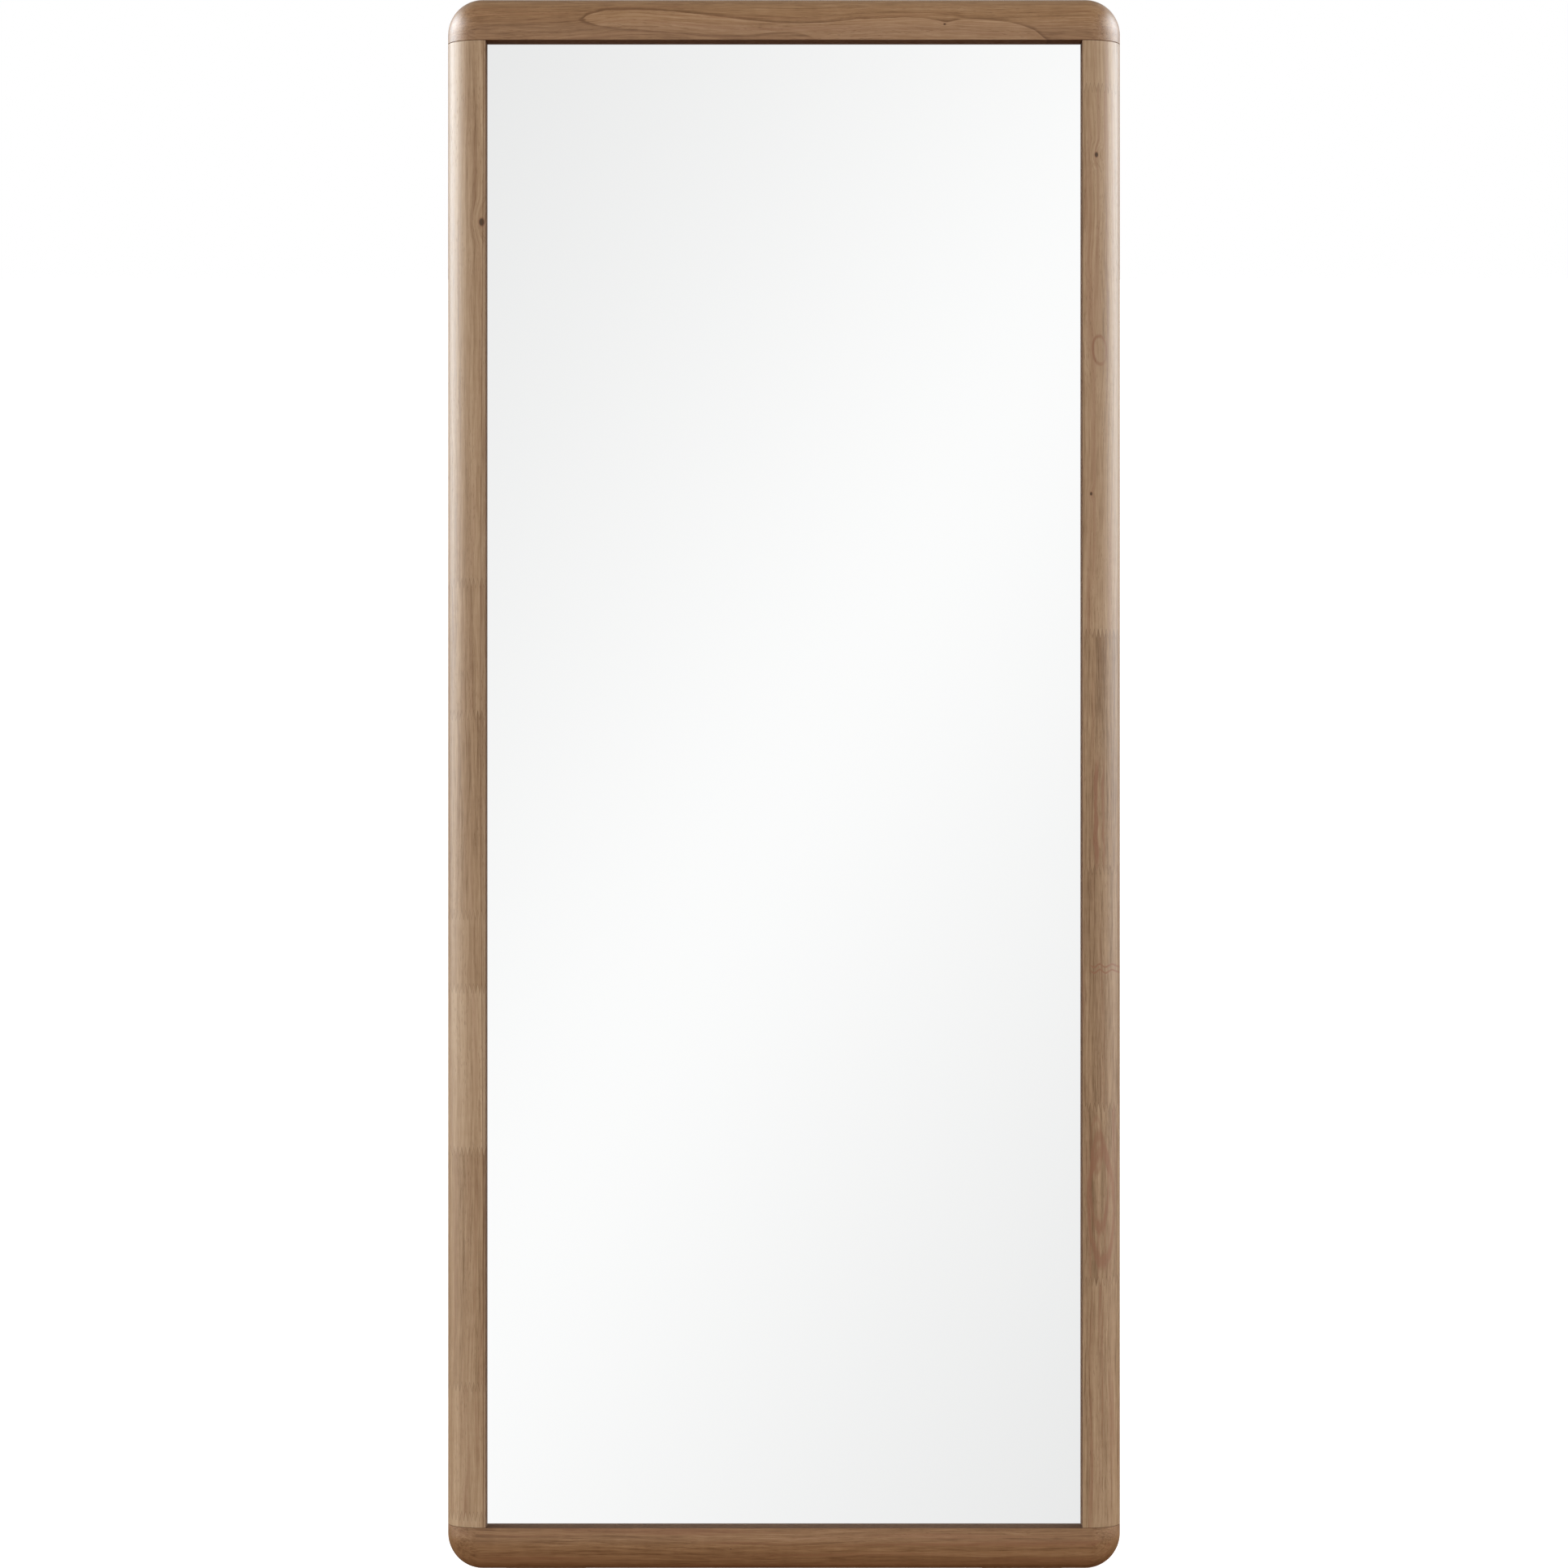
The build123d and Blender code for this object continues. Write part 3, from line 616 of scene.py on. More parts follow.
class Bench:
    """Lays out the nodes of one material or world."""

    def __init__(self, owner):
        owner.use_nodes = True
        self.tree = owner.node_tree
        self.tree.nodes.clear()

    def node(self, kind, settings=None, inputs=None, output=0):
        """Adds a node: its type, its settings, and the values or links of its sockets."""
        made = self.tree.nodes.new(kind)
        for name, value in (settings or {}).items():
            if name == "stops":
                ramp = made.color_ramp
                while len(ramp.elements) < len(value):
                    ramp.elements.new(1)
                for element, (position, tone) in zip(ramp.elements, value):
                    element.position = position
                    element.color = (*tone, 1)
            elif name == "ramp_way":
                made.color_ramp.interpolation = value
            else:
                setattr(made, name, value)
        for name, value in (inputs or {}).items():
            if isinstance(value, Signal):
                self.tree.links.new(value.socket, made.inputs[name])
            else:
                made.inputs[name].default_value = value
        return Signal(self, made.outputs[output]) if made.outputs else None

    def blend(self, share, first, second):
        """A mix of two colours."""
        return self.node("ShaderNodeMix", {"data_type": "RGBA"},
                         {0: share, 6: solid(first), 7: solid(second)}, output=2)

    def ramp(self, share, stops, way="LINEAR"):
        return self.node("ShaderNodeValToRGB", {"ramp_way": way, "stops": stops}, {"Fac": share})

    def vector(self, x, y, z):
        return self.node("ShaderNodeCombineXYZ", None, {"X": x, "Y": y, "Z": z})

    def noise(self, place, detail=2.0, roughness=0.5, scale=1.0):
        """Smooth noise about 0.5."""
        return self.node("ShaderNodeTexNoise", None,
                         {"Vector": place, "Scale": scale, "Detail": detail, "Roughness": roughness})

    def place(self):
        """Where a point of the piece is, in the frame's axes."""
        return self.node("ShaderNodeTexCoord", None, None, "Object")

    def along(self, place, direction, origin=Vector((0, 0, 0))):
        """How far along a direction a place is, in millimetres."""
        metres = self.node("ShaderNodeVectorMath", {"operation": "DOT_PRODUCT"},
                           {0: place, 1: direction}, "Value")
        return (metres - origin.dot(direction)) / MM

    def mirror_place(self):
        """How far across, up and into the mirror a place is, in millimetres."""
        place = self.place()
        return [self.along(place, way, FRONT_CORNER) for way in (RIGHT, UP, DEEPER)]

    def spot(self):
        """Where a point of the piece is, in millimetres."""
        return self.node("ShaderNodeVectorMath", {"operation": "SCALE"},
                         {0: self.place(), "Scale": 1 / MM}, "Vector")

    def principled(self, **inputs):
        """A surface shader; an underscore in a name stands for a space."""
        sockets = {name.replace("_", " "): value for name, value in inputs.items()}
        shader = self.node("ShaderNodeBsdfPrincipled", None, sockets)
        self.node("ShaderNodeOutputMaterial", None, {"Surface": shader})

    def bump(self, height, strength, depth):
        return self.node("ShaderNodeBump", None, {"Height": height, "Strength": strength, "Distance": depth})


def solid(tone):
    """A colour as a socket takes it."""
    return tone if isinstance(tone, Signal) else (*tone, 1)


def material(name):
    """A new material and the bench to lay it out on."""
    made = bpy.data.materials.new(name)
    return made, Bench(made)


# ---- wood: everything here is in millimetres ----

FAR_FROM_GLUE = 1000
GROWTH_RING = 5.2
PITH_ACROSS = -62
PITH_DEEP = -48


def finger_joints(run, across, joints):
    """Which length of stock a point is in, and how far it is from a glue line, in millimetres."""
    pitch = sizes().finger_pitch / MM
    tooth = sizes().finger_length / MM
    teeth = across.back_and_forth(pitch / 2) * (2 * tooth / pitch)
    count = 0
    nearest = FAR_FROM_GLUE
    for height in joints:
        past = run + teeth - height
        count = count + (past > 0)
        nearest = abs(past).at_most(nearest)
    return count, nearest


def wood_tones(kind):
    """The dark, middle and pale tones of the stiles', rails' or easel's wood."""
    return [getattr(tones(), kind + "_" + shade) for shade in ("dark", "mid", "light")]


def wood(name, run_way, across_way, deep_way, origin, palette, seed, joints=(), knots=(), red=0.35,
         contrast=1.0, bands=0.0, lift=0.0, warp=None, figure=None, shade=None, blush=None):
    """Satin-lacquered hardwood, its grain along run_way. The palette is its dark, middle and pale tones."""
    dark, mid, light = palette
    made, bench = material(name)
    place = bench.place()
    run = bench.along(place, run_way, origin)
    across = bench.along(place, across_way, origin)
    deep = bench.along(place, deep_way, origin)
    count, glue = finger_joints(run, across, joints)
    chip = bench.node("ShaderNodeTexWhiteNoise", {"noise_dimensions": "1D"}, {"W": count * 7.31 + seed})
    warm = bench.node("ShaderNodeTexWhiteNoise", {"noise_dimensions": "1D"}, {"W": count * 3.17 + seed + 0.5})
    shift = chip * 600 + seed * 137
    bent = across + (bench.noise(bench.vector(run / 260 + shift, across / 60, deep / 60)) - 0.5) * 16
    if warp:
        bent = bent + warp(run)
    knot_shade = 0
    for knot_run, knot_across, radius in knots:
        off_run = (run - knot_run) / 1.5
        off_across = across - knot_across
        reach = (off_run * off_run + off_across * off_across) ** 0.5
        knot_shade = reach.fall(radius * 0.4, radius * 1.25).at_least(knot_shade)
        bent = bent + reach.fall(radius, radius * 5) * radius * 1.6

    def grain(width, length_, detail, extra=0.0):
        """Noise drawn out along the grain."""
        spot = bench.vector(bent / width + shift + extra, deep / width - shift, run / length_ + shift)
        return bench.noise(spot, detail, 0.55)

    broad = grain(11, 420, 3.0)
    streaks = grain(3.2, 210, 3.0, 40)
    fine = grain(1.4, 36, 2.0, 80)
    fibre = grain(0.6, 13, 1.0, 120)
    off_pith_across = bent - PITH_ACROSS
    off_pith_deep = deep - PITH_DEEP
    off_pith = (off_pith_across * off_pith_across + off_pith_deep * off_pith_deep) ** 0.5
    uneven = (bench.noise(bench.vector(run / 300 + shift, bent / 50, deep / 50), 1.0) - 0.5) * 22
    latewood = ((off_pith + uneven) / GROWTH_RING).fraction() ** 3
    tone = 0.52 + lift - latewood * 0.11 + (chip - 0.5) * 0.27
    for layer, weight in ((broad, 0.85 * contrast), (streaks, 0.60 * contrast), (fine, 0.85), (fibre, 0.40)):
        tone = tone + (layer - 0.5) * weight
    flame = bench.noise(bench.vector(bent / 26 + shift, deep / 26, run / 8), 1.0)
    tone = tone + (flame - 0.5) * 0.12
    if bands:
        stripe = bench.noise(bench.vector(bent / 5.5 + shift, deep / 9, run / 700), 1.0)
        tone = tone + stripe.rise(0.42, 0.58) * bands - bands / 2
    near_face = deep.fall(22, 42)
    if figure:
        tone = tone + figure(bench, run, across) * near_face
    base = bench.ramp(tone, [(0.06, dark), (0.50, mid), (0.94, light)])
    reddish = grain(5.5, 300, 2.0, 160).rise(0.50, 0.72) * red * (0.45 + warm * 1.1)
    if blush:
        reddish = reddish + blush(bench, run, bent) * near_face
    base = bench.blend(reddish.at_most(0.85), base, tones().heartwood)
    cells = bench.node("ShaderNodeTexVoronoi", None,
                       {"Vector": bench.vector(bent / 1.1 + shift, deep / 1.1, run / 11), "Scale": 1.0})
    pores = cells.fall(0.12, 0.30) * grain(14, 120, 1.0, 200).rise(0.38, 0.58)
    base = bench.blend(pores * 0.62, base, dark)
    if knots:
        base = bench.blend(knot_shade.rise(0.0, 0.5) * 0.55, base, tones().heartwood)
        base = bench.blend(knot_shade.rise(0.4, 1.0) * 0.90, base, [value * 0.35 for value in dark])
    if joints:
        base = bench.blend(glue.fall(0.25, 0.95) * 0.62, base, [value * 0.7 for value in dark])
    gloss = 0.36 + (fine - 0.5) * 0.12 + pores * 0.12
    # Painted shade on the lips and the ledge beside the glass, and dark glue lines where the pieces meet; the
    # same mask makes those places rougher
    if shade:
        lip_shade_and_joints = shade(run, across)
        base = bench.blend(lip_shade_and_joints, base, tones().lip_shade_and_glue)
        gloss = gloss + lip_shade_and_joints.rise(0.05, 0.40) * 0.45
    relief = fine * 0.4 + fibre * 0.6 - pores * 1.2
    bench.principled(
        Base_Color=base,
        Roughness=gloss,
        IOR=1.46,
        Normal=bench.bump(relief, 0.22, 0.00025))
    return made


STILE_LOOKS = {
    "left_stile": {
        "seed": 3.0,
        "joints": (69, 215, 480, 664, 747, 972, 1121),
        "knots": ((1522, -340.5, 4.0),),
        "red": 0.20,
        "bands": 0.16,
        "lift": 0.13,
    },
    "right_stile": {
        "seed": 11.0,
        "joints": (334, 530, 798, 1064, 1679),
        "knots": ((1598, 352, 2.6), (1216, 346, 1.8)),
        "red": 0.42,
        "bands": 0.05,
    },
}


def right_stile_shade(run, across):
    """Dark where the stile meets the rails, and painted shade along the lip beside the glass."""
    off_end = (MIDDLE_HEIGHT - RAIL_HEIGHT) / MM - abs(run - MIDDLE_HEIGHT / MM)
    off_edge = abs(across) - HALF_OPENING / MM
    seam = off_end.fall(0.20, 0.55)
    return seam.at_least(off_edge.fall(0.10, 0.55)) * 0.85


def left_stile_shade(run, across):
    """As the right one, with a line along the hand-sanded facet."""
    share = (FRAME_HEIGHT - RAIL_HEIGHT) / MM - run
    share = share / ((FRAME_HEIGHT - 2 * RAIL_HEIGHT) / MM) * 1.15
    bow = (share.at_most(1.0) * math.pi).sine()
    width = (bow * bow * 0.55 + 0.45) * sizes().hand_facet / MM
    past_arris = abs(across) - HALF_OPENING / MM - width
    line = abs(past_arris).fall(0.15, 0.65) * 0.60
    facet = past_arris.fall(-0.4, 0.0) * 0.22
    return line.at_least(facet).at_least(right_stile_shade(run, across))


# The loops in the right stile: where each is up and across, half its length and width, and its strength.
STILE_EYES = (
    (482, 352, 30, 6, 0.35),
    (440, 355, 52, 10, 0.55),
    (412, 357, 62, 14, 0.60),
    (1378, 354, 16, 8, 0.50),
)


def right_stile_blush(bench, run, bent):
    """Reddish figure in the right stile: streaks, a wavy mark across and loops round a pale eye."""
    waver = (bench.noise(bench.vector(bent / 9, run / 30, 5.0), 2.0) - 0.5) * 2
    streaks = abs(bent - 353 + waver * 3).fall(0.6, 3.4) + abs(bent - 360 + waver * 2).fall(0.3, 1.6) * 0.6
    blush = streaks * abs(run - 855).fall(40, 75) * 0.85
    wave = (bent * 0.42).sine() * 1.6 + waver * 1.5
    across_marks = abs(abs(run - 681 + wave) - 3.2).fall(0.5, 1.7) * bent.rise(340, 348)
    blush = blush + across_marks * 0.75
    for eye_run, eye_across, half_length, half_width, strength in STILE_EYES:
        off_run = (run - eye_run) / half_length
        off_across = (bent - eye_across) / half_width
        ring = (off_run * off_run + off_across * off_across) ** 0.5 + waver * 0.10
        blush = blush + abs(ring - 1).fall(0.03, 0.22) * strength
    return blush * (1.15 + waver * 0.5)


def stile_wood(node):
    """Finger-jointed stock, its grain up the mirror."""
    shade = left_stile_shade if node == "left_stile" else right_stile_shade
    blush = right_stile_blush if node == "right_stile" else None
    return wood(node + "_wood", UP, RIGHT, DEEPER, FRONT_CORNER, wood_tones("stile"), shade=shade,
                blush=blush, **STILE_LOOKS[node])


def tongue_line(bench, run, stops):
    """A grain line: how far it is below the top of the rail, in millimetres."""
    share = run / (FRAME_WIDTH / MM) + 0.5
    reach = RAIL_HEIGHT / MM
    return bench.ramp(share, [(0.5 + at * MM / FRAME_WIDTH, [below / reach] * 3) for at, below in stops],
                      "B_SPLINE") * reach


TONGUE_TOP = ((-228, 28), (-222, 22), (-200, 15), (-129, 16), (-60, 26), (13, 35), (80, 27), (154, 23),
              (182, 33), (200, 25), (254, 30), (282, 38), (300, 56))
TONGUE_BOTTOM = ((-228, 28), (-212, 34), (-180, 38), (-120, 42), (-40, 48), (-14, 41), (20, 42), (40, 52))


def tongue_figure(bench, run, across):
    """The pale tongue in the top rail's face, between two of its growth rings."""
    below = FRAME_HEIGHT / MM - across
    waver = (bench.noise(bench.vector(run / 24, below / 12, 0.0), 2.0) - 0.5) * 2.0
    under_top = below - tongue_line(bench, run, TONGUE_TOP) + waver
    under_bottom = below - tongue_line(bench, run, TONGUE_BOTTOM) + waver
    inside = under_top.rise(-0.4, 0.6) * under_bottom.fall(-0.6, 0.8)
    ends = abs(run - 36).fall(258, 268)
    rim = under_top.rise(-5.0, -0.2) * under_top.fall(-0.2, 0.5)
    low_rim = under_bottom.rise(-0.6, 0.2) * under_bottom.fall(0.2, 4.5) * run.fall(20, 40)
    glow = under_top.rise(0.0, 0.8) * under_top.fall(0.8, 3.5)
    off_tip = ((run + 227) / 2.2) ** 2 + (below - 28) ** 2
    near_tip = (off_tip ** 0.5).fall(0.5, 2.6)
    lines = (rim * 0.26 + low_rim * 0.16) * (1 + run.fall(-222, -185) * 0.8)
    return (inside * 0.15 - lines + glow * 0.08) * ends - near_tip * 0.45


def tongue_warp(run):
    """Bends the grain above the tongue so that it runs round it."""
    crest = 1 / (((run + 165) / 90) ** 2 + 1)
    second = 1 / (((run - 130) / 90) ** 2 + 1)
    return 0 - crest * 11 - second * 6


def top_rail_shade(run, across):
    """Dark along the joints, and painted shade under the lip over the glass."""
    past_edge = across - (FRAME_HEIGHT - RAIL_HEIGHT) / MM
    over_glass = abs(run).fall(HALF_OPENING / MM - 1, HALF_OPENING / MM)
    return past_edge.fall(0.15, 0.60) * (0.90 - over_glass * 0.42)


def bottom_rail_shade(run, across):
    """Dark along the joints, and painted shade on the ledge under the glass."""
    return (RAIL_HEIGHT / MM - across).fall(0.15, 0.60) * 0.70


RAIL_LOOKS = {
    "top_rail": {
        "seed": 21.0,
        "knots": ((181, 1745, 1.3),),
        "red": 0.30,
        "contrast": 0.75,
        "warp": tongue_warp,
        "figure": tongue_figure,
        "shade": top_rail_shade,
    },
    "bottom_rail": {
        "seed": 33.0,
        "knots": ((-60, 27, 0.8),),
        "red": 0.35,
        "contrast": 0.85,
        "shade": bottom_rail_shade,
    },
}


def rail_wood(node):
    """A plain-sawn board, its grain across the mirror."""
    return wood(node + "_wood", RIGHT, UP, DEEPER, FRONT_CORNER, wood_tones("rail"), **RAIL_LOOKS[node])


def easel_wood(name, run_way, across_way, deep_way, seed):
    """The easel's plain hardwood, measured from the pivot."""
    return wood(name, run_way, across_way, deep_way, PIVOT, wood_tones("easel"), seed, red=0.22, contrast=0.9,
                bands=0.06)


def bead_wood(name, run_way, across_way, seed):
    """Offcuts of the stiles' stock, with little figure."""
    return wood(name, run_way, across_way, DEEPER, FRONT_CORNER, wood_tones("stile"), seed, red=0.15,
                contrast=0.7)


# ---- the other finishes ----

def silvered_glass():
    """Silver behind the face, green glass at the ground edge, and paint on the back."""
    made, bench = material("silvered_glass")
    across, height, depth = bench.mirror_place()
    front = LIP_DEPTH / MM
    glass = measured("mirror_glass")
    off_side = glass.high(RIGHT) / MM - abs(across)
    off_end = glass.size(UP) / MM / 2 - abs(height - MIDDLE_HEIGHT / MM)
    off_edge = off_side.at_most(off_end)
    edge = 1 - (off_edge > 1.05) * (1 - (depth > front + 0.05))
    painted = (depth > front + glass.size(DEEPER) / MM - 0.05) * 1.0
    cloudy = bench.noise(bench.vector(across / 180, height / 180, 3.0), 1.0)
    dimmed = off_edge.fall(1.0, 7.0) * 0.10 + (cloudy - 0.5) * 0.006
    silver = bench.blend(dimmed, tones().silver, (0.80, 0.86, 0.83))
    mottled = bench.noise(bench.vector(across / 9, height / 9, 0.0), 3.0)
    paint = bench.blend(mottled, tones().back_paint, [value * 1.35 for value in tones().back_paint])
    ground = bench.noise(bench.vector(across / 4, height / 4, depth / 2))
    rim = bench.blend(ground, tones().glass_edge, (0.30, 0.48, 0.40))
    base = bench.blend(edge, silver, bench.blend(painted, rim, paint))
    bench.principled(Base_Color=base, Metallic=1 - edge, Roughness=edge * (0.22 + painted * 0.3), IOR=1.5)
    return made


def fibreboard():
    """Pressed fibre with a smooth, slightly cloudy face."""
    made, bench = material("fibreboard")
    across, height, depth = bench.mirror_place()
    spot = bench.vector(across, height, depth)
    cloud = bench.noise(spot, 3.0, 0.5, 0.012)
    clump = bench.noise(spot, 3.0, 0.6, 0.22)
    fibre = bench.noise(bench.vector(across / 0.7, height / 2.4, depth / 0.7), 2.0)
    cross_fibre = bench.noise(bench.vector(across / 2.2, height / 0.7, depth / 0.7 + 30), 2.0)
    chips = fibre.rise(0.60, 0.74) + cross_fibre.rise(0.62, 0.76)
    tone = 0.5 + (cloud - 0.5) * 0.5 + (clump - 0.5) * 0.6
    own = Vector(tones().fibreboard)
    base = bench.ramp(tone, [(0.15, own * 0.72), (0.5, own), (0.88, own * 1.30)])
    base = bench.blend(chips.at_most(1.0) * 0.40, base, own * 1.75)
    base = bench.blend(fibre.fall(0.26, 0.38) * 0.45, base, own * 0.42)
    bench.principled(Base_Color=base, Roughness=0.62 + (clump - 0.5) * 0.2, IOR=1.45,
                     Normal=bench.bump(fibre + cross_fibre + clump, 0.25, 0.0002))
    return made


def plated_steel(name, tone, roughness, crystals, rust=0.0):
    """Plated steel: faint crystals in the plating, rubbed lines and dull patches."""
    made, bench = material(name)
    spot = bench.spot()
    cells = bench.node("ShaderNodeTexVoronoi", None, {"Vector": spot, "Scale": 0.33}, "Color")
    flake = bench.node("ShaderNodeSeparateColor", None, {"Color": cells})
    dull = bench.noise(spot, 3.0, 0.6, 0.10)
    rubbed = bench.noise(spot, 2.0, 0.7, 1.4)
    scratch = bench.node("ShaderNodeTexWave", {"bands_direction": "DIAGONAL"}, {
        "Vector": spot, "Scale": 0.35, "Distortion": 9.0, "Detail": 3.0, "Detail Scale": 2.2}, "Fac")
    own = Vector(tone)
    base = bench.blend(flake * crystals, own, own * 0.72)
    base = bench.blend(dull.rise(0.48, 0.75) * 0.35, base, own * 0.60)
    if rust:
        base = bench.blend(dull.rise(0.60, 0.80) * rust, base, (0.30, 0.22, 0.10))
    gloss = roughness + (flake - 0.5) * crystals * 0.25 + (dull - 0.5) * 0.20 + (rubbed - 0.5) * 0.10
    bench.principled(Base_Color=base, Metallic=1 - dull.rise(0.70, 0.90) * 0.15, Roughness=gloss,
                     Normal=bench.bump(scratch + rubbed, 0.10, 0.00006))
    return made


def rubber(name, tone, dust=0.35):
    """Moulded rubber with a fine bloom of dust."""
    made, bench = material(name)
    spot = bench.spot()
    height = bench.along(bench.place(), Vector((0, 0, 1)))
    grit = bench.noise(spot, 2.0, 0.6, 2.2)
    patch = bench.noise(spot, 3.0, 0.6, 0.16)
    own = Vector(tone)
    base = bench.ramp(0.5 + (patch - 0.5) * 1.2, [(0.2, own * 0.7), (0.5, own), (0.85, own * 1.7)])
    bloom = grit.rise(0.45, 0.80) * dust + height.fall(0.5, 9.0) * 0.20
    base = bench.blend(bloom, base, (0.13, 0.125, 0.118))
    bench.principled(Base_Color=base, Roughness=0.58 + (patch - 0.5) * 0.25 + bloom * 0.3, IOR=1.5,
                     Normal=bench.bump(grit, 0.30, 0.00012))
    return made


def moulded(name, tone, roughness, grit_size, variation):
    """Nylon, foam and other plain soft finishes with a fine surface of their own."""
    made, bench = material(name)
    spot = bench.spot()
    grit = bench.noise(spot, 3.0, 0.6, 1 / grit_size)
    patch = bench.noise(spot, 2.0, 0.5, 0.09)
    own = Vector(tone)
    base = bench.ramp(0.5 + (grit - 0.5) * variation + (patch - 0.5) * variation,
                      [(0.1, own * 0.70), (0.5, own), (0.9, own * 1.25)])
    bench.principled(Base_Color=base, Roughness=roughness + (grit - 0.5) * 0.2, IOR=1.5,
                     Normal=bench.bump(grit, 0.25, 0.0001))
    return made


def turned_brass():
    """Brass with the fine rings of a lathe."""
    made, bench = material("bush_brass")
    spot = bench.spot()
    rings = bench.node("ShaderNodeTexWave", {"wave_type": "RINGS", "rings_direction": "X"},
                       {"Vector": spot, "Scale": 1.2, "Distortion": 0.6}, "Fac")
    dull = bench.noise(spot, 3.0, 0.6, 0.15)
    own = Vector(tones().brass)
    base = bench.blend(dull.rise(0.40, 0.75) * 0.6, own, own * 0.45)
    bench.principled(Base_Color=base, Metallic=1 - dull.rise(0.7, 0.9) * 0.2,
                     Roughness=0.28 + dull * 0.25 + rings * 0.08, Normal=bench.bump(rings, 0.1, 0.00005))
    return made


# ---- the frame ----

def make_rail(node, place):
    """A rail that lies as the bottom one does: rebated along its upper back edge."""
    own = sizes()
    half = HALF_WIDTH
    top = RAIL_HEIGHT
    back = -FRAME_DEPTH
    lip = -LIP_DEPTH
    inner = HALF_REBATE
    floor = RAIL_HEIGHT - REBATE
    stock = Stock()
    new = stock.mesh.verts.new
    front_ring = [new(p) for p in ((-half, 0, 0), (half, 0, 0), (half, top, 0), (-half, top, 0))]
    back_ring = [new(p) for p in ((-half, 0, back), (half, 0, back), (half, top, back), (inner, top, back),
                                  (inner, floor, back), (-inner, floor, back), (-inner, top, back),
                                  (-half, top, back))]
    lip_ring = [new(p) for p in ((inner, top, lip), (inner, floor, lip), (-inner, floor, lip),
                                 (-inner, top, lip))]
    for ring in (
            front_ring,
            back_ring,
            (front_ring[0], back_ring[0], back_ring[1], front_ring[1]),
            (front_ring[1], back_ring[1], back_ring[2], front_ring[2]),
            (front_ring[0], front_ring[3], back_ring[7], back_ring[0]),
            (front_ring[3], front_ring[2], back_ring[2], back_ring[3], lip_ring[0], lip_ring[3], back_ring[6],
             back_ring[7]),
            lip_ring,
            (back_ring[3], back_ring[4], lip_ring[1], lip_ring[0]),
            (back_ring[4], back_ring[5], lip_ring[2], lip_ring[1]),
            (back_ring[5], back_ring[6], lip_ring[3], lip_ring[2])):
        stock.mesh.faces.new(ring)
    bmesh.ops.recalc_face_normals(stock.mesh, faces=stock.mesh.faces)

    def edges_where(test):
        return [edge for edge in stock.mesh.edges if all(test(vertex.co) for vertex in edge.verts)]

    near = 1e-5
    corners = [edge for edge in edges_where(lambda p: p.y < near and abs(abs(p.x) - half) < near)
               if abs(edge.verts[0].co.z - edge.verts[1].co.z) > near]
    stock.ease(corners, own.corner_radius, 20)
    on_joint = set(edges_where(lambda p: p.y > top - near))
    outline = [edge for edge in edges_where(lambda p: p.z > -near) if edge not in on_joint]
    stock.ease(outline, own.edge_radius, 16)
    on_joint = set(edges_where(lambda p: p.y > top - near))
    outline = [edge for edge in edges_where(lambda p: p.z < back + near)
               if edge not in on_joint and not all(abs(v.co.x) < inner + near and v.co.y > floor - near
                                                   for v in edge.verts)]
    stock.ease(outline, own.back_arris, 3)
    stock.ease([edge for edge in stock.sharp_edges() if all(v.co.y > floor - near for v in edge.verts)],
               own.eased_edge, 2)
    stock.put(place)
    stock.put_in_order()
    return finish_piece(stock, node, "frame", rail_wood(node))


def facet_width(share):
    """How wide the hand-sanded facet is, from the top of the stile (0) to its foot (1)."""
    return sizes().hand_facet * (0.45 + 0.55 * math.sin(math.pi * min(1.0, share * 1.15)) ** 2)


def make_stile(node, side):
    """A stile between the rails, lofted from its section: quarter-round outside, rebated inside."""
    own = sizes()
    outer = HALF_WIDTH
    rows = []
    row_count = 40
    for row in range(row_count + 1):
        share = row / row_count
        height = FRAME_HEIGHT - RAIL_HEIGHT + (2 * RAIL_HEIGHT - FRAME_HEIGHT) * share
        facet = facet_width(share) if side < 0 else 0.3 * MM
        section = [Vector((HALF_OPENING + facet, 0)), Vector((HALF_OPENING, -0.38 * facet)),
                   Vector((HALF_OPENING, -LIP_DEPTH)), Vector((HALF_REBATE, -LIP_DEPTH)),
                   Vector((HALF_REBATE, -FRAME_DEPTH))]
        section += arc((outer - own.back_arris, own.back_arris - FRAME_DEPTH), own.back_arris, -90, 0, 3)
        section += arc((outer - own.edge_radius, -own.edge_radius), own.edge_radius, 0, 90, 16)
        rows.append([(side * point.x, height, point.y) for point in section])
    stock = Stock()
    stock.loft(rows)
    stock.ease(stock.sharp_edges(40), own.eased_edge, 2)
    stock.put(facing_front())
    return finish_piece(stock, node, "frame", stile_wood(node))


def slab(node, ease, segments):
    """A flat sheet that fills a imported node's box, with its edges worked."""
    whole_node = measured(node)
    stock = Stock()
    outline = rectangle(whole_node.size(RIGHT), whole_node.size(UP))
    stock.loft([level(outline, z) for z in (0, -whole_node.size(DEEPER))])
    stock.ease(stock.sharp_edges(), ease, segments)
    stock.put(facing_front(whole_node.middle(RIGHT), whole_node.middle(UP), whole_node.low(DEEPER)))
    return stock


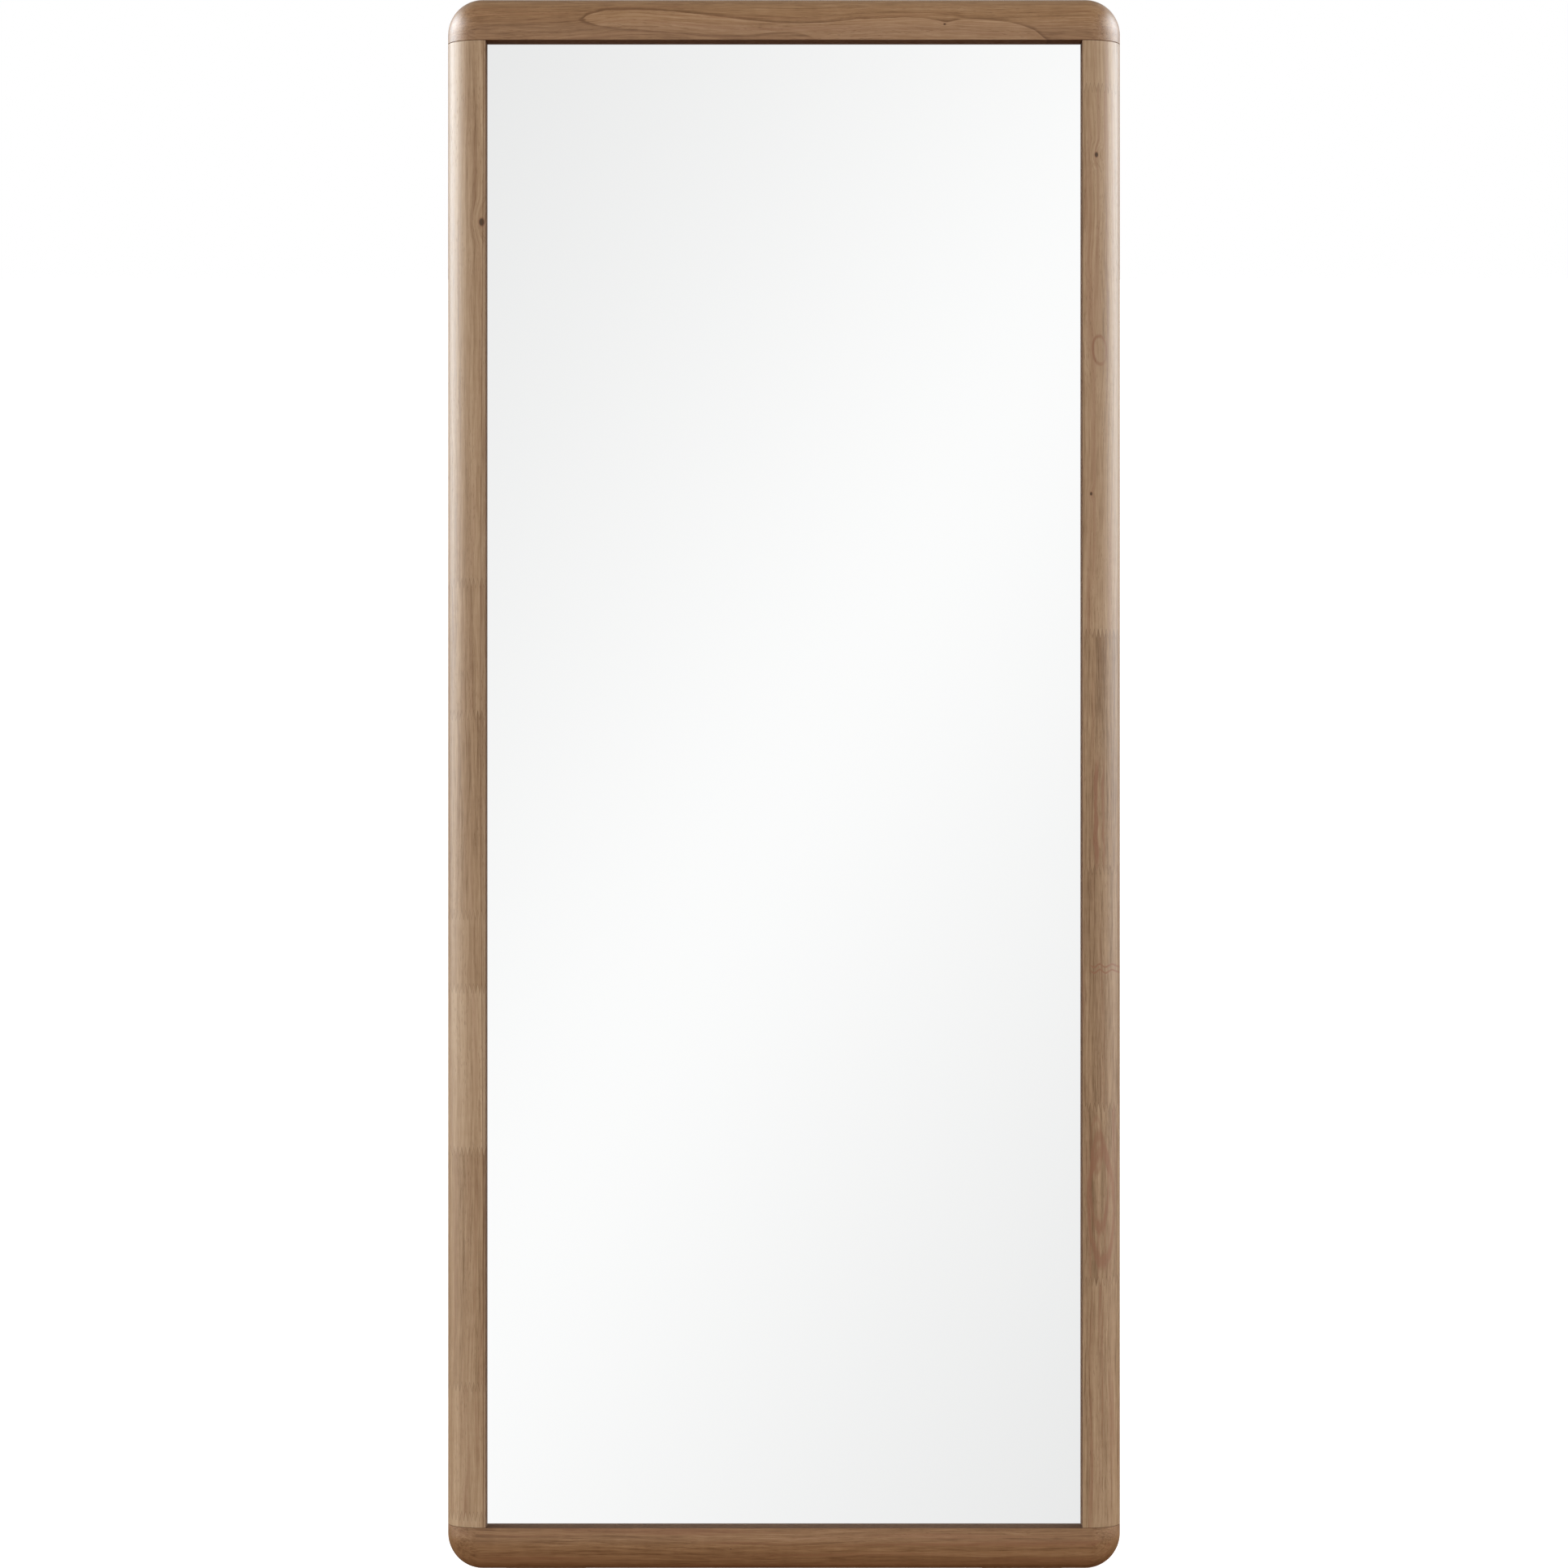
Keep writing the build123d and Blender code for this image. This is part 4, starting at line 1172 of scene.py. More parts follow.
def make_beads():
    """Four bevelled strips, mitred where they meet."""
    ring = measured("left_bead")
    width = ring.size(RIGHT)
    front = -ring.low(DEEPER)
    back = -ring.high(DEEPER)
    chamfer = sizes().bead_chamfer
    section = [(0, front), (width, front), (width, back + chamfer), (width - chamfer, back), (0, back)]
    outer_x = HALF_REBATE
    outer_y = MIDDLE_HEIGHT - RAIL_HEIGHT + REBATE
    sides = {"left_bead": (0, outer_x, outer_y), "bottom_bead": (90, outer_y, outer_x),
             "right_bead": (180, outer_x, outer_y), "top_bead": (270, outer_y, outer_x)}
    for index, (node, (turn, reach, half_length)) in enumerate(sides.items()):
        stock = Stock()
        stock.loft([[(a - reach, end * (half_length - a), z) for a, z in section] for end in (-1, 1)])
        stock.ease(stock.sharp_edges(), 0.5 * MM, 2)
        stock.put(facing_front(0, MIDDLE_HEIGHT, 0) @ Matrix.Rotation(math.radians(turn), 4, "Z"))
        upright = turn % 180 == 0
        run_way, across_way = (UP, RIGHT) if upright else (RIGHT, UP)
        finish_piece(stock, node, "frame",
                     bead_wood(node + "_wood", run_way, across_way, 41.0 + 5 * index))


def make_bead_pins():
    """Round-headed pins through the beads."""
    stock = Stock()
    for pin in separate_solids("bead_pins"):
        upright = pin.size(UP) > pin.size(RIGHT)
        way = UP if upright else RIGHT
        head = pin.low(way) if pin.middle(way) > (MIDDLE_HEIGHT if upright else 0) else pin.high(way)
        inward = 1 if head == pin.low(way) else -1
        length_ = pin.size(way)
        radius = pin.size(DEEPER) / 2
        stock.turned([(0, 0), (radius * 0.55, 0.05 * MM), (radius * 0.92, 0.25 * MM), (radius, 0.45 * MM),
                      (radius, 0.8 * MM), (radius * 0.62, 0.85 * MM), (radius * 0.62, length_ - 2 * MM),
                      (radius * 0.2, length_ - 0.2 * MM), (0, length_)], 16)
        origin = frame_point(pin.middle(RIGHT), head, pin.middle(DEEPER)) if upright else \
            frame_point(head, pin.middle(UP), pin.middle(DEEPER))
        z = way * inward
        stock.put(axes(origin, z.orthogonal().normalized(), z.cross(z.orthogonal().normalized()), z))
    return finish_piece(stock, "bead_pins", "frame",
                        plated_steel("bright_steel", tones().steel, 0.30, 0.15))


# ---- steel hardware ----

SHANK_PLAY = 1.05
HEAD_PLAY = 1.03
BRACE_INNER_CORNER = 1.5 * MM
PRESS_BEND = 2.2 * MM
THREAD_DEPTH = 0.45 * MM
BOLT_HEAD = 4.2 * MM
BOLT_RIM = 0.9 * MM
BOLT_PITCH = 1.25 * MM
THREADED_END = 13 * MM
NUT_COLLAR = 1.8 * MM
NUT_BEVEL = 0.6 * MM
SCREW_SINK = 1.9 * MM
SCREW_RIM = 0.12 * MM
SCREW_PITCH = 1.5 * MM
RECESS_REACH = 2.2 * MM
RECESS_HALF_WIDTH = 0.55 * MM
RECESS_DEPTH = 1.2 * MM
RING_CORNER = 2.6 * MM


def screw_holes(screws, plate, x=0.0, height=0.0):
    """Countersunk holes for the screws inside a plate's box, from its own origin and seen from behind."""
    shank = sizes().screw_shank * SHANK_PLAY
    head = sizes().screw_head * HEAD_PLAY
    holes = []
    for screw in separate_solids(screws):
        across = screw.middle(RIGHT)
        up = screw.middle(UP)
        if plate.low(RIGHT) < across < plate.high(RIGHT) and plate.low(UP) < up < plate.high(UP):
            holes.append((Vector((x - across, up - height)), shank, head))
    return holes


def make_braces():
    """Stamped angle plates across the corner joints."""
    own = sizes()
    stock = Stock()
    for brace in separate_solids("corner_braces"):
        centre_x = brace.middle(RIGHT)
        centre_y = brace.middle(UP)
        side = 1 if centre_x > 0 else -1
        end = 1 if centre_y > MIDDLE_HEIGHT else -1
        arm = brace.size(RIGHT)
        width = own.brace_width
        corners = [(0, 0), (-arm, 0), (-arm, -width), (-width, -width), (-width, -arm), (0, -arm)]
        radii = [own.brace_heel, own.strip_corner, own.strip_corner, BRACE_INNER_CORNER, own.strip_corner,
                 own.strip_corner]
        heel = Vector((centre_x + side * arm / 2, centre_y + end * arm / 2))
        outline = [Vector((-(heel.x + side * p.x), heel.y + end * p.y)) for p in rounded(corners, radii)]
        stock.plate(outline, brace.size(DEEPER), own.plate_ease, screw_holes("corner_brace_screws", brace))
        stock.put(facing_back(0, 0, brace.low(DEEPER)))
    return finish_piece(stock, "corner_braces", "frame",
                        plated_steel("zinc_plate_braces", tones().zinc, 0.36, 0.55))


def make_bracket(node, finish):
    """A base plate with two round cheeks turned up from it."""
    own = sizes()
    bracket = measured(node)
    centre_x = bracket.middle(RIGHT)
    pivot_height = (PIVOT - FRONT_CORNER).dot(UP)
    pivot_depth = (PIVOT - FRONT_CORNER).dot(DEEPER)
    width = bracket.size(RIGHT)
    base_depth = bracket.low(DEEPER)
    sheet = own.bracket_plate
    stock = Stock()
    outline = [point + Vector((-centre_x, pivot_height)) for point in
               rectangle(width, bracket.size(UP), own.strip_corner)]
    stock.plate(outline, sheet, own.plate_ease, screw_holes("bracket_screws", bracket))
    stock.put(facing_back(0, 0, base_depth))
    rise = pivot_depth - base_depth - sheet / 2
    radius = own.cheek_radius
    bolt_hole = own.bolt_radius * 1.02
    for side in (-1, 1):
        cheek = [Vector((-rise, -radius)), *arc((0, 0), radius, -90, 90, 20), Vector((-rise, radius))]
        stock.plate(cheek, sheet, own.plate_ease, [(Vector((0, 0)), bolt_hole, bolt_hole)])
        left_x = centre_x + side * width / 2 - (sheet if side > 0 else 0)
        stock.put(facing_side(left_x, pivot_height, pivot_depth))
        curve = [Vector((0, 0)), *arc((PRESS_BEND, PRESS_BEND), PRESS_BEND, 270, 180, 6)]
        stock.loft([level(curve, z) for z in (-radius + own.plate_ease, radius - own.plate_ease)])
        inner_x = centre_x + side * (width / 2 - sheet)
        inward = RIGHT * -side
        foot = frame_point(inner_x, pivot_height, base_depth + sheet)
        stock.put(axes(foot, inward, DEEPER, inward.cross(DEEPER)))
    return finish_piece(stock, node, "frame", finish)


def thread(radius, start, end, pitch):
    """The profile of a threaded length that points down, crest and root in turn."""
    profile = []
    turns = max(1, round((end - start) / pitch))
    step = (end - start) / turns
    for turn in range(turns):
        for reach, share in ((radius, 0.15), (radius, 0.35), (radius - THREAD_DEPTH, 0.75)):
            profile.append((reach, -(start + step * (turn + share))))
    return profile


def furthest_out(solid_):
    """How far a solid reaches to its own side of the mirror's middle."""
    return max(abs(solid_.low(RIGHT)), abs(solid_.high(RIGHT)))


def make_bolts():
    """Cup-head bolts through the brackets, their heads outside."""
    own = sizes()
    stock = Stock()
    for bolt in separate_solids("pivot_bolts"):
        side = 1 if bolt.middle(RIGHT) > 0 else -1
        radius = own.bolt_radius
        head_radius = bolt.size(UP) / 2
        length_ = bolt.size(RIGHT)
        profile = [(0, BOLT_HEAD)]
        for step in range(1, 9):
            angle = math.radians(90 - step * 10)
            profile.append((head_radius * math.cos(angle) * 0.985,
                            BOLT_RIM + (BOLT_HEAD - BOLT_RIM) * math.sin(angle)))
        shank_end = length_ - BOLT_HEAD
        thread_start = shank_end - THREADED_END
        profile += [(head_radius, 0.7 * MM), (head_radius, 0.25 * MM), (head_radius - 0.25 * MM, 0),
                    (radius, 0), (radius, 0.2 * MM - thread_start),
                    *thread(radius, thread_start, shank_end - 0.8 * MM, BOLT_PITCH),
                    (radius * 0.80, -shank_end), (0, -shank_end)]
        stock.turned(profile, 40)
        under_head = side * (furthest_out(bolt) - BOLT_HEAD)
        stock.put(facing_side(under_head, bolt.middle(UP), bolt.middle(DEEPER), side))
    return finish_piece(stock, "pivot_bolts", "frame",
                        plated_steel("bolt_steel", tones().steel, 0.26, 0.12))


def make_washers():
    """Flat washers between the brackets and the nuts."""
    stock = Stock()
    inner = sizes().bolt_radius * 1.03
    ease = sizes().plate_ease
    for washer in separate_solids("pivot_washers"):
        thick = washer.size(RIGHT)
        outer = washer.size(UP) / 2
        stock.turned_ring([(inner, ease), (inner + ease, 0), (outer - ease, 0), (outer, ease),
                           (outer, thick - ease), (outer - ease, thick), (inner + ease, thick),
                           (inner, thick - ease)], 40)
        stock.put(facing_side(washer.low(RIGHT), washer.middle(UP), washer.middle(DEEPER)))
    return finish_piece(stock, "pivot_washers", "frame",
                        plated_steel("washer_steel", tones().zinc, 0.34, 0.25))


def make_nuts():
    """Locking nuts: six flats, a rolled collar and a nylon ring inside it."""
    own = sizes()
    steel = Stock()
    rings = Stock()
    for nut in separate_solids("pivot_nuts"):
        side = 1 if nut.middle(RIGHT) > 0 else -1
        height = nut.size(RIGHT)
        # The nut's corners are where it is widest.
        widths = {}
        for turn in range(60):
            way = UP * math.sin(math.radians(turn)) - DEEPER * side * math.cos(math.radians(turn))
            widths[nut.size(way)] = turn
        corner = max(widths) / 2
        turn = widths[max(widths)]
        flats = 2 * corner * math.cos(math.radians(30))
        body = height - NUT_COLLAR
        hexagon = rounded(arc((0, 0), corner, turn, turn + 300, 5), [0.5 * MM] * 6, 3)
        trimmed = [point * min(1.0, 0.955 * corner / point.length) for point in hexagon]
        bore_radius = own.bolt_radius * 1.01
        outer_rings = steel.loft([level(outline, z) for outline, z in (
            (trimmed, 0), (hexagon, NUT_BEVEL), (hexagon, body - NUT_BEVEL), (trimmed, body))], False)
        low_hole = steel.hoop(bore_radius, 0, BORE_SIDES)
        steel.fill([outer_rings[0], low_hole])
        foot = steel.hoop(flats * 0.43, body, BORE_SIDES)
        steel.fill([outer_rings[-1], foot])
        profile = [(flats * 0.43, body + NUT_COLLAR * 0.55), (flats * 0.41, body + NUT_COLLAR * 0.85),
                   (flats * 0.385, height), (flats * 0.36, height), (flats * 0.345, body + NUT_COLLAR * 0.7),
                   (flats * 0.345, body)]
        throat = steel.draw_out(foot, [*profile, (bore_radius, body)], BORE_SIDES)
        steel.skin(throat, low_hole)
        # The nut's face lies against the washer, outboard, and its collar looks inboard.
        place = facing_side(side * furthest_out(nut), nut.middle(UP), nut.middle(DEEPER), -side)
        steel.put(place)
        inner = own.bolt_radius * 1.015
        outer = flats * 0.343
        base = body + 0.1 * MM
        rings.turned_ring([(inner, base), (outer, base), (outer, body + NUT_COLLAR * 0.68),
                           (inner + 0.3 * MM, body + NUT_COLLAR * 0.72),
                           (inner, body + NUT_COLLAR * 0.5)], 32)
        rings.put(place)
    finish_piece(rings, "nut_rings", "frame",
                 moulded("nut_ring_nylon", tones().nylon, 0.42, 0.6, 0.3), extra=True)
    return finish_piece(steel, "pivot_nuts", "frame",
                        plated_steel("nut_steel", tones().steel, 0.30, 0.18))


def make_screws(node):
    """Countersunk wood screws with a cross recess."""
    own = sizes()
    stock = Stock()
    for index, screw in enumerate(separate_solids(node)):
        head = screw.high(DEEPER)
        length_ = screw.size(DEEPER)
        shank = own.screw_shank
        rim = own.screw_head
        cross = []
        for quarter in range(4):
            for point in ((RECESS_REACH, -RECESS_HALF_WIDTH), (RECESS_REACH, RECESS_HALF_WIDTH),
                          (RECESS_HALF_WIDTH, RECESS_HALF_WIDTH)):
                turned = Vector(point)
                turned.rotate(Matrix.Rotation(math.radians(-90 * quarter), 2))
                cross.append(turned)
        face = stock.hoop(rim - SCREW_RIM, 0, 28)
        mouth = stock.ring(level(cross, 0))
        stock.fill([face, mouth])
        floor = stock.ring([(p.x * 0.62, p.y * 0.62, -RECESS_DEPTH) for p in cross])
        stock.skin(mouth, floor)
        stock.mesh.faces.new(floor)
        profile = [(rim, -SCREW_RIM), (shank * 1.02, -SCREW_SINK), (shank, -SCREW_SINK - 0.8 * MM),
                   *thread(shank, SCREW_SINK + 1.0 * MM, length_ - 4 * MM, SCREW_PITCH),
                   (shank * 0.8, -length_ + 3 * MM), (shank * 0.15, -length_ + 0.1 * MM)]
        stock.mesh.faces.new(stock.draw_out(face, profile, 28))
        turn = math.radians((index * 47) % 90)
        stock.put(facing_back(screw.middle(RIGHT), screw.middle(UP), head) @ Matrix.Rotation(turn, 4, "Z"))
    return finish_piece(stock, node, "frame",
                        plated_steel(node + "_steel", tones().steel, 0.32, 0.15))


def make_strap(node, finish):
    """A strap rolled round the straight side of its ring."""
    own = sizes()
    strap = measured(node)
    centre_x = strap.middle(RIGHT)
    sheet = own.strap_sheet
    inner = own.ring_wire * 1.03
    outer = inner + sheet
    axis_height = strap.high(UP) - outer
    axis_depth = strap.high(DEEPER) - outer
    width = strap.size(RIGHT)
    drop = axis_height - strap.low(UP)
    base = strap.low(DEEPER)
    ease = own.plate_ease
    stock = Stock()
    outline = rounded([(-width / 2, -drop), (width / 2, -drop), (width / 2, 0), (-width / 2, 0)],
                      [own.strip_corner, own.strip_corner, 0, 0])
    stock.plate(outline, sheet, ease, screw_holes("hanger_screws", strap, centre_x, axis_height))
    stock.put(facing_back(centre_x, axis_height, base))
    rows = []
    steps = 28
    mean = inner + sheet / 2
    half = width / 2
    for step in range(steps + 1):
        angle = math.radians(180 - 318 * step / steps)
        middle = Vector((math.cos(angle), math.sin(angle)))
        across_sheet = [(-sheet / 2, half - ease), (-sheet / 2 + ease, half), (sheet / 2 - ease, half),
                        (sheet / 2, half - ease), (sheet / 2, ease - half), (sheet / 2 - ease, -half),
                        (ease - sheet / 2, -half), (-sheet / 2, ease - half)]
        rows.append([((mean + out) * middle.x, (mean + out) * middle.y, x) for out, x in across_sheet])
    stock.loft(rows)
    stock.put(facing_side(centre_x, axis_height, axis_depth))
    return finish_piece(stock, node, "frame", finish)


def make_ring(node, body, joint):
    """A D-shaped ring of round wire, hanging from its straight side."""
    own = sizes()
    ring = whole(node)
    centre = joint_point(joint)
    wire = own.ring_wire
    half = own.ring_width / 2 + wire
    depth = centre.z - ring.low(Vector((0, 0, 1))) - wire
    bow_drop = depth - half
    corner = RING_CORNER
    line = [Vector((x * half, 0)) for x in (-0.6, -0.3, 0, 0.3, 0.6)]
    line += arc((half - corner, -corner), corner, 90, 0, 6)
    line += [Vector((half, -corner - (bow_drop - corner) * share)) for share in (0.33, 0.66)]
    line += arc((0, -bow_drop), half, 0, -180, 30)
    line += [Vector((-half, -corner - (bow_drop - corner) * share)) for share in (0.66, 0.33)]
    line += arc((corner - half, -corner), corner, 180, 90, 6)
    stock = Stock()
    stock.tube([Vector((p.x, 0, p.y)) for p in line], wire, 18)
    stock.put(Matrix.Translation(centre))
    return finish_piece(stock, node, body,
                        plated_steel(node + "_steel", tones().steel, 0.24, 0.10))


# ---- the easel ----

TENON_THICKNESS = 9 * MM
TENON_HEIGHT = 32 * MM
MORTISE_PLAY = 0.2 * MM


def make_leg(node, seed):
    """A leg with a bevel on top that stops against the bracket, bored for its sleeve and mortised."""
    own = sizes()
    leg = whole(node, PIVOT)
    centre_x = leg.middle(RIGHT)
    width = leg.size(RIGHT)
    thickness = leg.size(LEG_BACK)
    outline = rectangle(width, thickness, own.leg_arris, 5)
    top = leg.high(LEG_UP)
    foot = leg.low(LEG_UP) - thickness
    stock = Stock()
    rows = []
    row_count = 24
    for row in range(row_count + 1):
        along = top + (foot - top) * row / row_count
        rows.append([leg_point(centre_x + p.x, along, p.y) for p in outline])
    stock.loft(rows)
    stop_depth = Solid(leg.points, FRONT_CORNER).low(DEEPER)
    stock.cut(frame_point(0, 0, stop_depth), FRONT)
    stock.cut(Vector((0, 0, own.boot_sole)), Vector((0, 0, -1)))
    stock.ease(stock.sharp_edges(30), own.eased_edge * 0.8, 2)
    made = finish_piece(stock, node, "easel",
                        easel_wood(node + "_wood", LEG_UP, RIGHT, LEG_BACK, seed))
    holes = Stock()
    sleeve = whole("leg_bushes", PIVOT).size(LEG_UP) / 2
    holes.turned([(0, -width), (sleeve, -width), (sleeve, width), (0, width)], 40)
    holes.put(axes(leg_point(centre_x, 0, 0), LEG_BACK, LEG_UP, RIGHT))
    for rail_node in ("upper_cross_rail", "lower_cross_rail"):
        rail = whole(rail_node, PIVOT)
        mortise = rectangle(TENON_THICKNESS + MORTISE_PLAY, TENON_HEIGHT + MORTISE_PLAY)
        reach = rail.high(RIGHT) + 1 * MM
        inner = abs(centre_x) - width / 2 - 2 * MM
        side = 1 if centre_x > 0 else -1
        holes.loft([level(mortise, side * x) for x in (inner, reach)])
        holes.put(axes(leg_point(0, rail.middle(LEG_UP), 0), LEG_BACK, LEG_UP, RIGHT))
    bore(made, holes)
    return made


def make_cross_rail(node, seed):
    """A cross rail between the legs, with a tenon on each end."""
    own = sizes()
    rail = whole(node, PIVOT)
    leg = whole("right_leg", PIVOT)
    shoulder = leg.low(RIGHT)
    reach = rail.high(RIGHT)
    outline = rectangle(rail.size(LEG_BACK), rail.size(LEG_UP), own.cross_rail_arris, 5)
    tenon = rectangle(TENON_THICKNESS, TENON_HEIGHT, 0.6 * MM, 3)
    stock = Stock()
    steps = 12
    ease = 0.4 * MM
    rows = [level(inset(outline, ease), -shoulder)]
    for step in range(steps + 1):
        x = -shoulder + ease + (2 * shoulder - 2 * ease) * step / steps
        rows.append(level(outline, x))
    rows.append(level(inset(outline, ease), shoulder))
    rings = stock.loft(rows, False)
    for end, ring in ((-1, rings[0]), (1, rings[-1])):
        root = stock.ring(level(tenon, end * shoulder))
        tip = stock.ring(level(tenon, end * (reach - 0.6 * MM)))
        face = stock.ring(level(inset(tenon, 0.5 * MM), end * reach))
        stock.fill([ring, root])
        stock.skin(root, tip)
        stock.skin(tip, face)
        stock.mesh.faces.new(face)
    stock.put(axes(leg_point(0, rail.middle(LEG_UP), rail.middle(LEG_BACK)), LEG_BACK, LEG_UP, RIGHT))
    return finish_piece(stock, node, "easel",
                        easel_wood(node + "_wood", RIGHT, LEG_UP, LEG_BACK, seed))


def make_boot(node, finish):
    """A rubber boot with grip rings round its sides and a trodden rim."""
    own = sizes()
    boot = whole(node, PIVOT)
    leg = whole("left_leg", PIVOT)
    centre_x = boot.middle(RIGHT)
    wall = own.boot_wall
    width = leg.size(RIGHT)
    thickness = leg.size(LEG_BACK)
    outline = rectangle(width + 2 * wall, thickness + 2 * wall, own.leg_arris + wall, 6)
    hollow = rectangle(width, thickness, own.leg_arris, 6)
    top = boot.high(LEG_UP)

    def point(p, along_floor, level):
        """A point of the section: at a height above the floor, or a share of the way up to the top."""
        floor_along = -(PIVOT.z - level + p.y * LEG_BACK.z) / LEG_UP.z
        return leg_point(centre_x + p.x, floor_along + (top - floor_along) * along_floor, p.y)

    stock = Stock()
    rows = [[point(p, 0, 0) for p in inset(outline, 1.2 * MM)],
            [point(p, 0, 0.35 * MM) for p in inset(outline, 0.35 * MM)],
            [point(p, 0, 1.3 * MM) for p in outline]]
    grooves = 5
    for groove in range(grooves):
        centre = 0.22 + 0.13 * groove
        for offset, depth in ((-0.035, 0.0), (-0.018, 0.7), (0.018, 0.7), (0.035, 0.0)):
            rows.append([point(p, centre + offset, 0) for p in inset(outline, depth * MM)])
    rows.append([point(p, 0.955, 0) for p in outline])
    rows.append([point(p, 0.985, 0) for p in inset(outline, 0.3 * MM)])
    rows.append([point(p, 1.0, 0) for p in inset(outline, 0.9 * MM)])
    rows.append([point(p, 1.0, 0) for p in inset(hollow, -0.5 * MM)])
    rows.append([point(p, 0.975, 0) for p in hollow])
    rows.append([point(p, 0, own.boot_sole) for p in hollow])
    stock.loft(rows)
    return finish_piece(stock, node, "easel", finish, 40)


# ---- rubber under and behind the frame ----

def make_foot(node, finish):
    """A rubber strip that fills the wedge between the bottom rail and the floor."""
    foot = measured(node)
    depth = foot.size(DEEPER)
    stock = Stock()
    outline = rectangle(foot.size(RIGHT), depth * 0.99, 1.5 * MM, 5)
    centre_depth = foot.middle(DEEPER)

    def row(shape, lift, on_floor):
        points = []
        for p in shape:
            base = frame_point(foot.middle(RIGHT) + p.x, 0, centre_depth + p.y)
            down = base.z / UP.z
            points.append(base - UP * (down - lift) if on_floor else base + UP * lift)
        return points

    stock.loft([row(inset(outline, 0.5 * MM), 0, True), row(outline, 0.4 * MM, True),
                row(outline, -0.4 * MM, False), row(inset(outline, 0.2 * MM), 0, False)])
    return finish_piece(stock, node, "frame", finish, 40)


def make_bumpers():
    """Domed rubber dots that the folded legs close against."""
    stock = Stock()
    for dot in separate_solids("fold_bumpers"):
        radius = dot.size(RIGHT) / 2
        height = dot.size(DEEPER)
        dome = 2.0 * MM
        profile = [(0, 0), (radius - 0.3 * MM, 0), (radius, 0.3 * MM), (radius, height - dome)]
        for step in range(1, 7):
            angle = math.radians(15 * step)
            profile.append((radius - dome + dome * math.cos(angle), height - dome + dome * math.sin(angle)))
        profile += [(radius * 0.35, height), (radius * 0.25, height - 0.25 * MM), (0, height - 0.3 * MM)]
        stock.turned(profile, 36)
        stock.put(facing_back(dot.middle(RIGHT), dot.middle(UP), dot.low(DEEPER)))
    return finish_piece(stock, "fold_bumpers", "frame",
                        rubber("bumper_rubber", tones().rubber, 0.25), 50)


def dress_node(node, finish):
    """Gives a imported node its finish."""
    frame["nodes"][node].data.materials.clear()
    frame["nodes"][node].data.materials.append(finish)


# ---- operators: one for each piece or group of like pieces ----

class MIRROR_OT_rails(bpy.types.Operator):
    """Makes the top and bottom rails with their round corners."""

    bl_idname = "mirror.rails"
    bl_label = "Rails"

    def execute(self, context):
        make_rail("bottom_rail", facing_front())
        make_rail("top_rail", facing_front(0, FRAME_HEIGHT, 0) @ Matrix.Rotation(math.pi, 4, "Z"))
        return {"FINISHED"}


class MIRROR_OT_stiles(bpy.types.Operator):
    """Makes the two finger-jointed stiles."""

    bl_idname = "mirror.stiles"
    bl_label = "Stiles"

    def execute(self, context):
        make_stile("left_stile", -1)
        make_stile("right_stile", 1)
        return {"FINISHED"}


class MIRROR_OT_glass(bpy.types.Operator):
    """Makes the silvered glass with its ground edge."""

    bl_idname = "mirror.glass"
    bl_label = "Glass"

    def execute(self, context):
        piece = finish_piece(slab("mirror_glass", sizes().glass_arris, 2), "mirror_glass", "frame",
                             silvered_glass())
        piece.data.shade_flat()
        return {"FINISHED"}


class MIRROR_OT_backing(bpy.types.Operator):
    """Makes the fibreboard behind the glass."""

    bl_idname = "mirror.backing"
    bl_label = "Backing board"

    def execute(self, context):
        finish_piece(slab("backing_board", 0.5 * MM, 2), "backing_board", "frame",
                     fibreboard())
        return {"FINISHED"}


class MIRROR_OT_beads(bpy.types.Operator):
    """Makes the four mitred beads and the pins through them."""

    bl_idname = "mirror.beads"
    bl_label = "Beads and pins"

    def execute(self, context):
        make_beads()
        make_bead_pins()
        return {"FINISHED"}


class MIRROR_OT_braces(bpy.types.Operator):
    """Makes the steel angle plates across the corner joints."""

    bl_idname = "mirror.braces"
    bl_label = "Corner braces"

    def execute(self, context):
        make_braces()
        return {"FINISHED"}


class MIRROR_OT_brackets(bpy.types.Operator):
    """Makes the two brackets that the easel turns in."""

    bl_idname = "mirror.brackets"
    bl_label = "Pivot brackets"

    def execute(self, context):
        finish = plated_steel("zinc_plate_brackets", tones().zinc, 0.36, 0.55)
        make_bracket("left_pivot_bracket", finish)
        make_bracket("right_pivot_bracket", finish)
        return {"FINISHED"}


class MIRROR_OT_bolts(bpy.types.Operator):
    """Makes the pivot bolts with their washers and locking nuts."""

    bl_idname = "mirror.bolts"
    bl_label = "Bolts, washers and nuts"

    def execute(self, context):
        make_bolts()
        make_washers()
        make_nuts()
        return {"FINISHED"}


class MIRROR_OT_screws(bpy.types.Operator):
    """Makes the countersunk screws of the braces, brackets and hangers."""

    bl_idname = "mirror.screws"
    bl_label = "Screws"

    def execute(self, context):
        for node in ("corner_brace_screws", "bracket_screws", "hanger_screws"):
            make_screws(node)
        return {"FINISHED"}


class MIRROR_OT_hangers(bpy.types.Operator):
    """Makes the two hanger straps and the rings that swing in them."""

    bl_idname = "mirror.hangers"
    bl_label = "Wall hangers"

    def execute(self, context):
        finish = plated_steel("hanger_steel", tones().zinc, 0.30, 0.30)
        for side in ("left", "right"):
            make_strap(side + "_hanger_strap", finish)
            make_ring(side + "_d_ring", side + "_ring", side + "_ring_swing")
        return {"FINISHED"}


class MIRROR_OT_legs(bpy.types.Operator):
    """Makes the easel's two legs."""

    bl_idname = "mirror.legs"
    bl_label = "Easel legs"

    def execute(self, context):
        make_leg("left_leg", 60.0)
        make_leg("right_leg", 67.0)
        return {"FINISHED"}


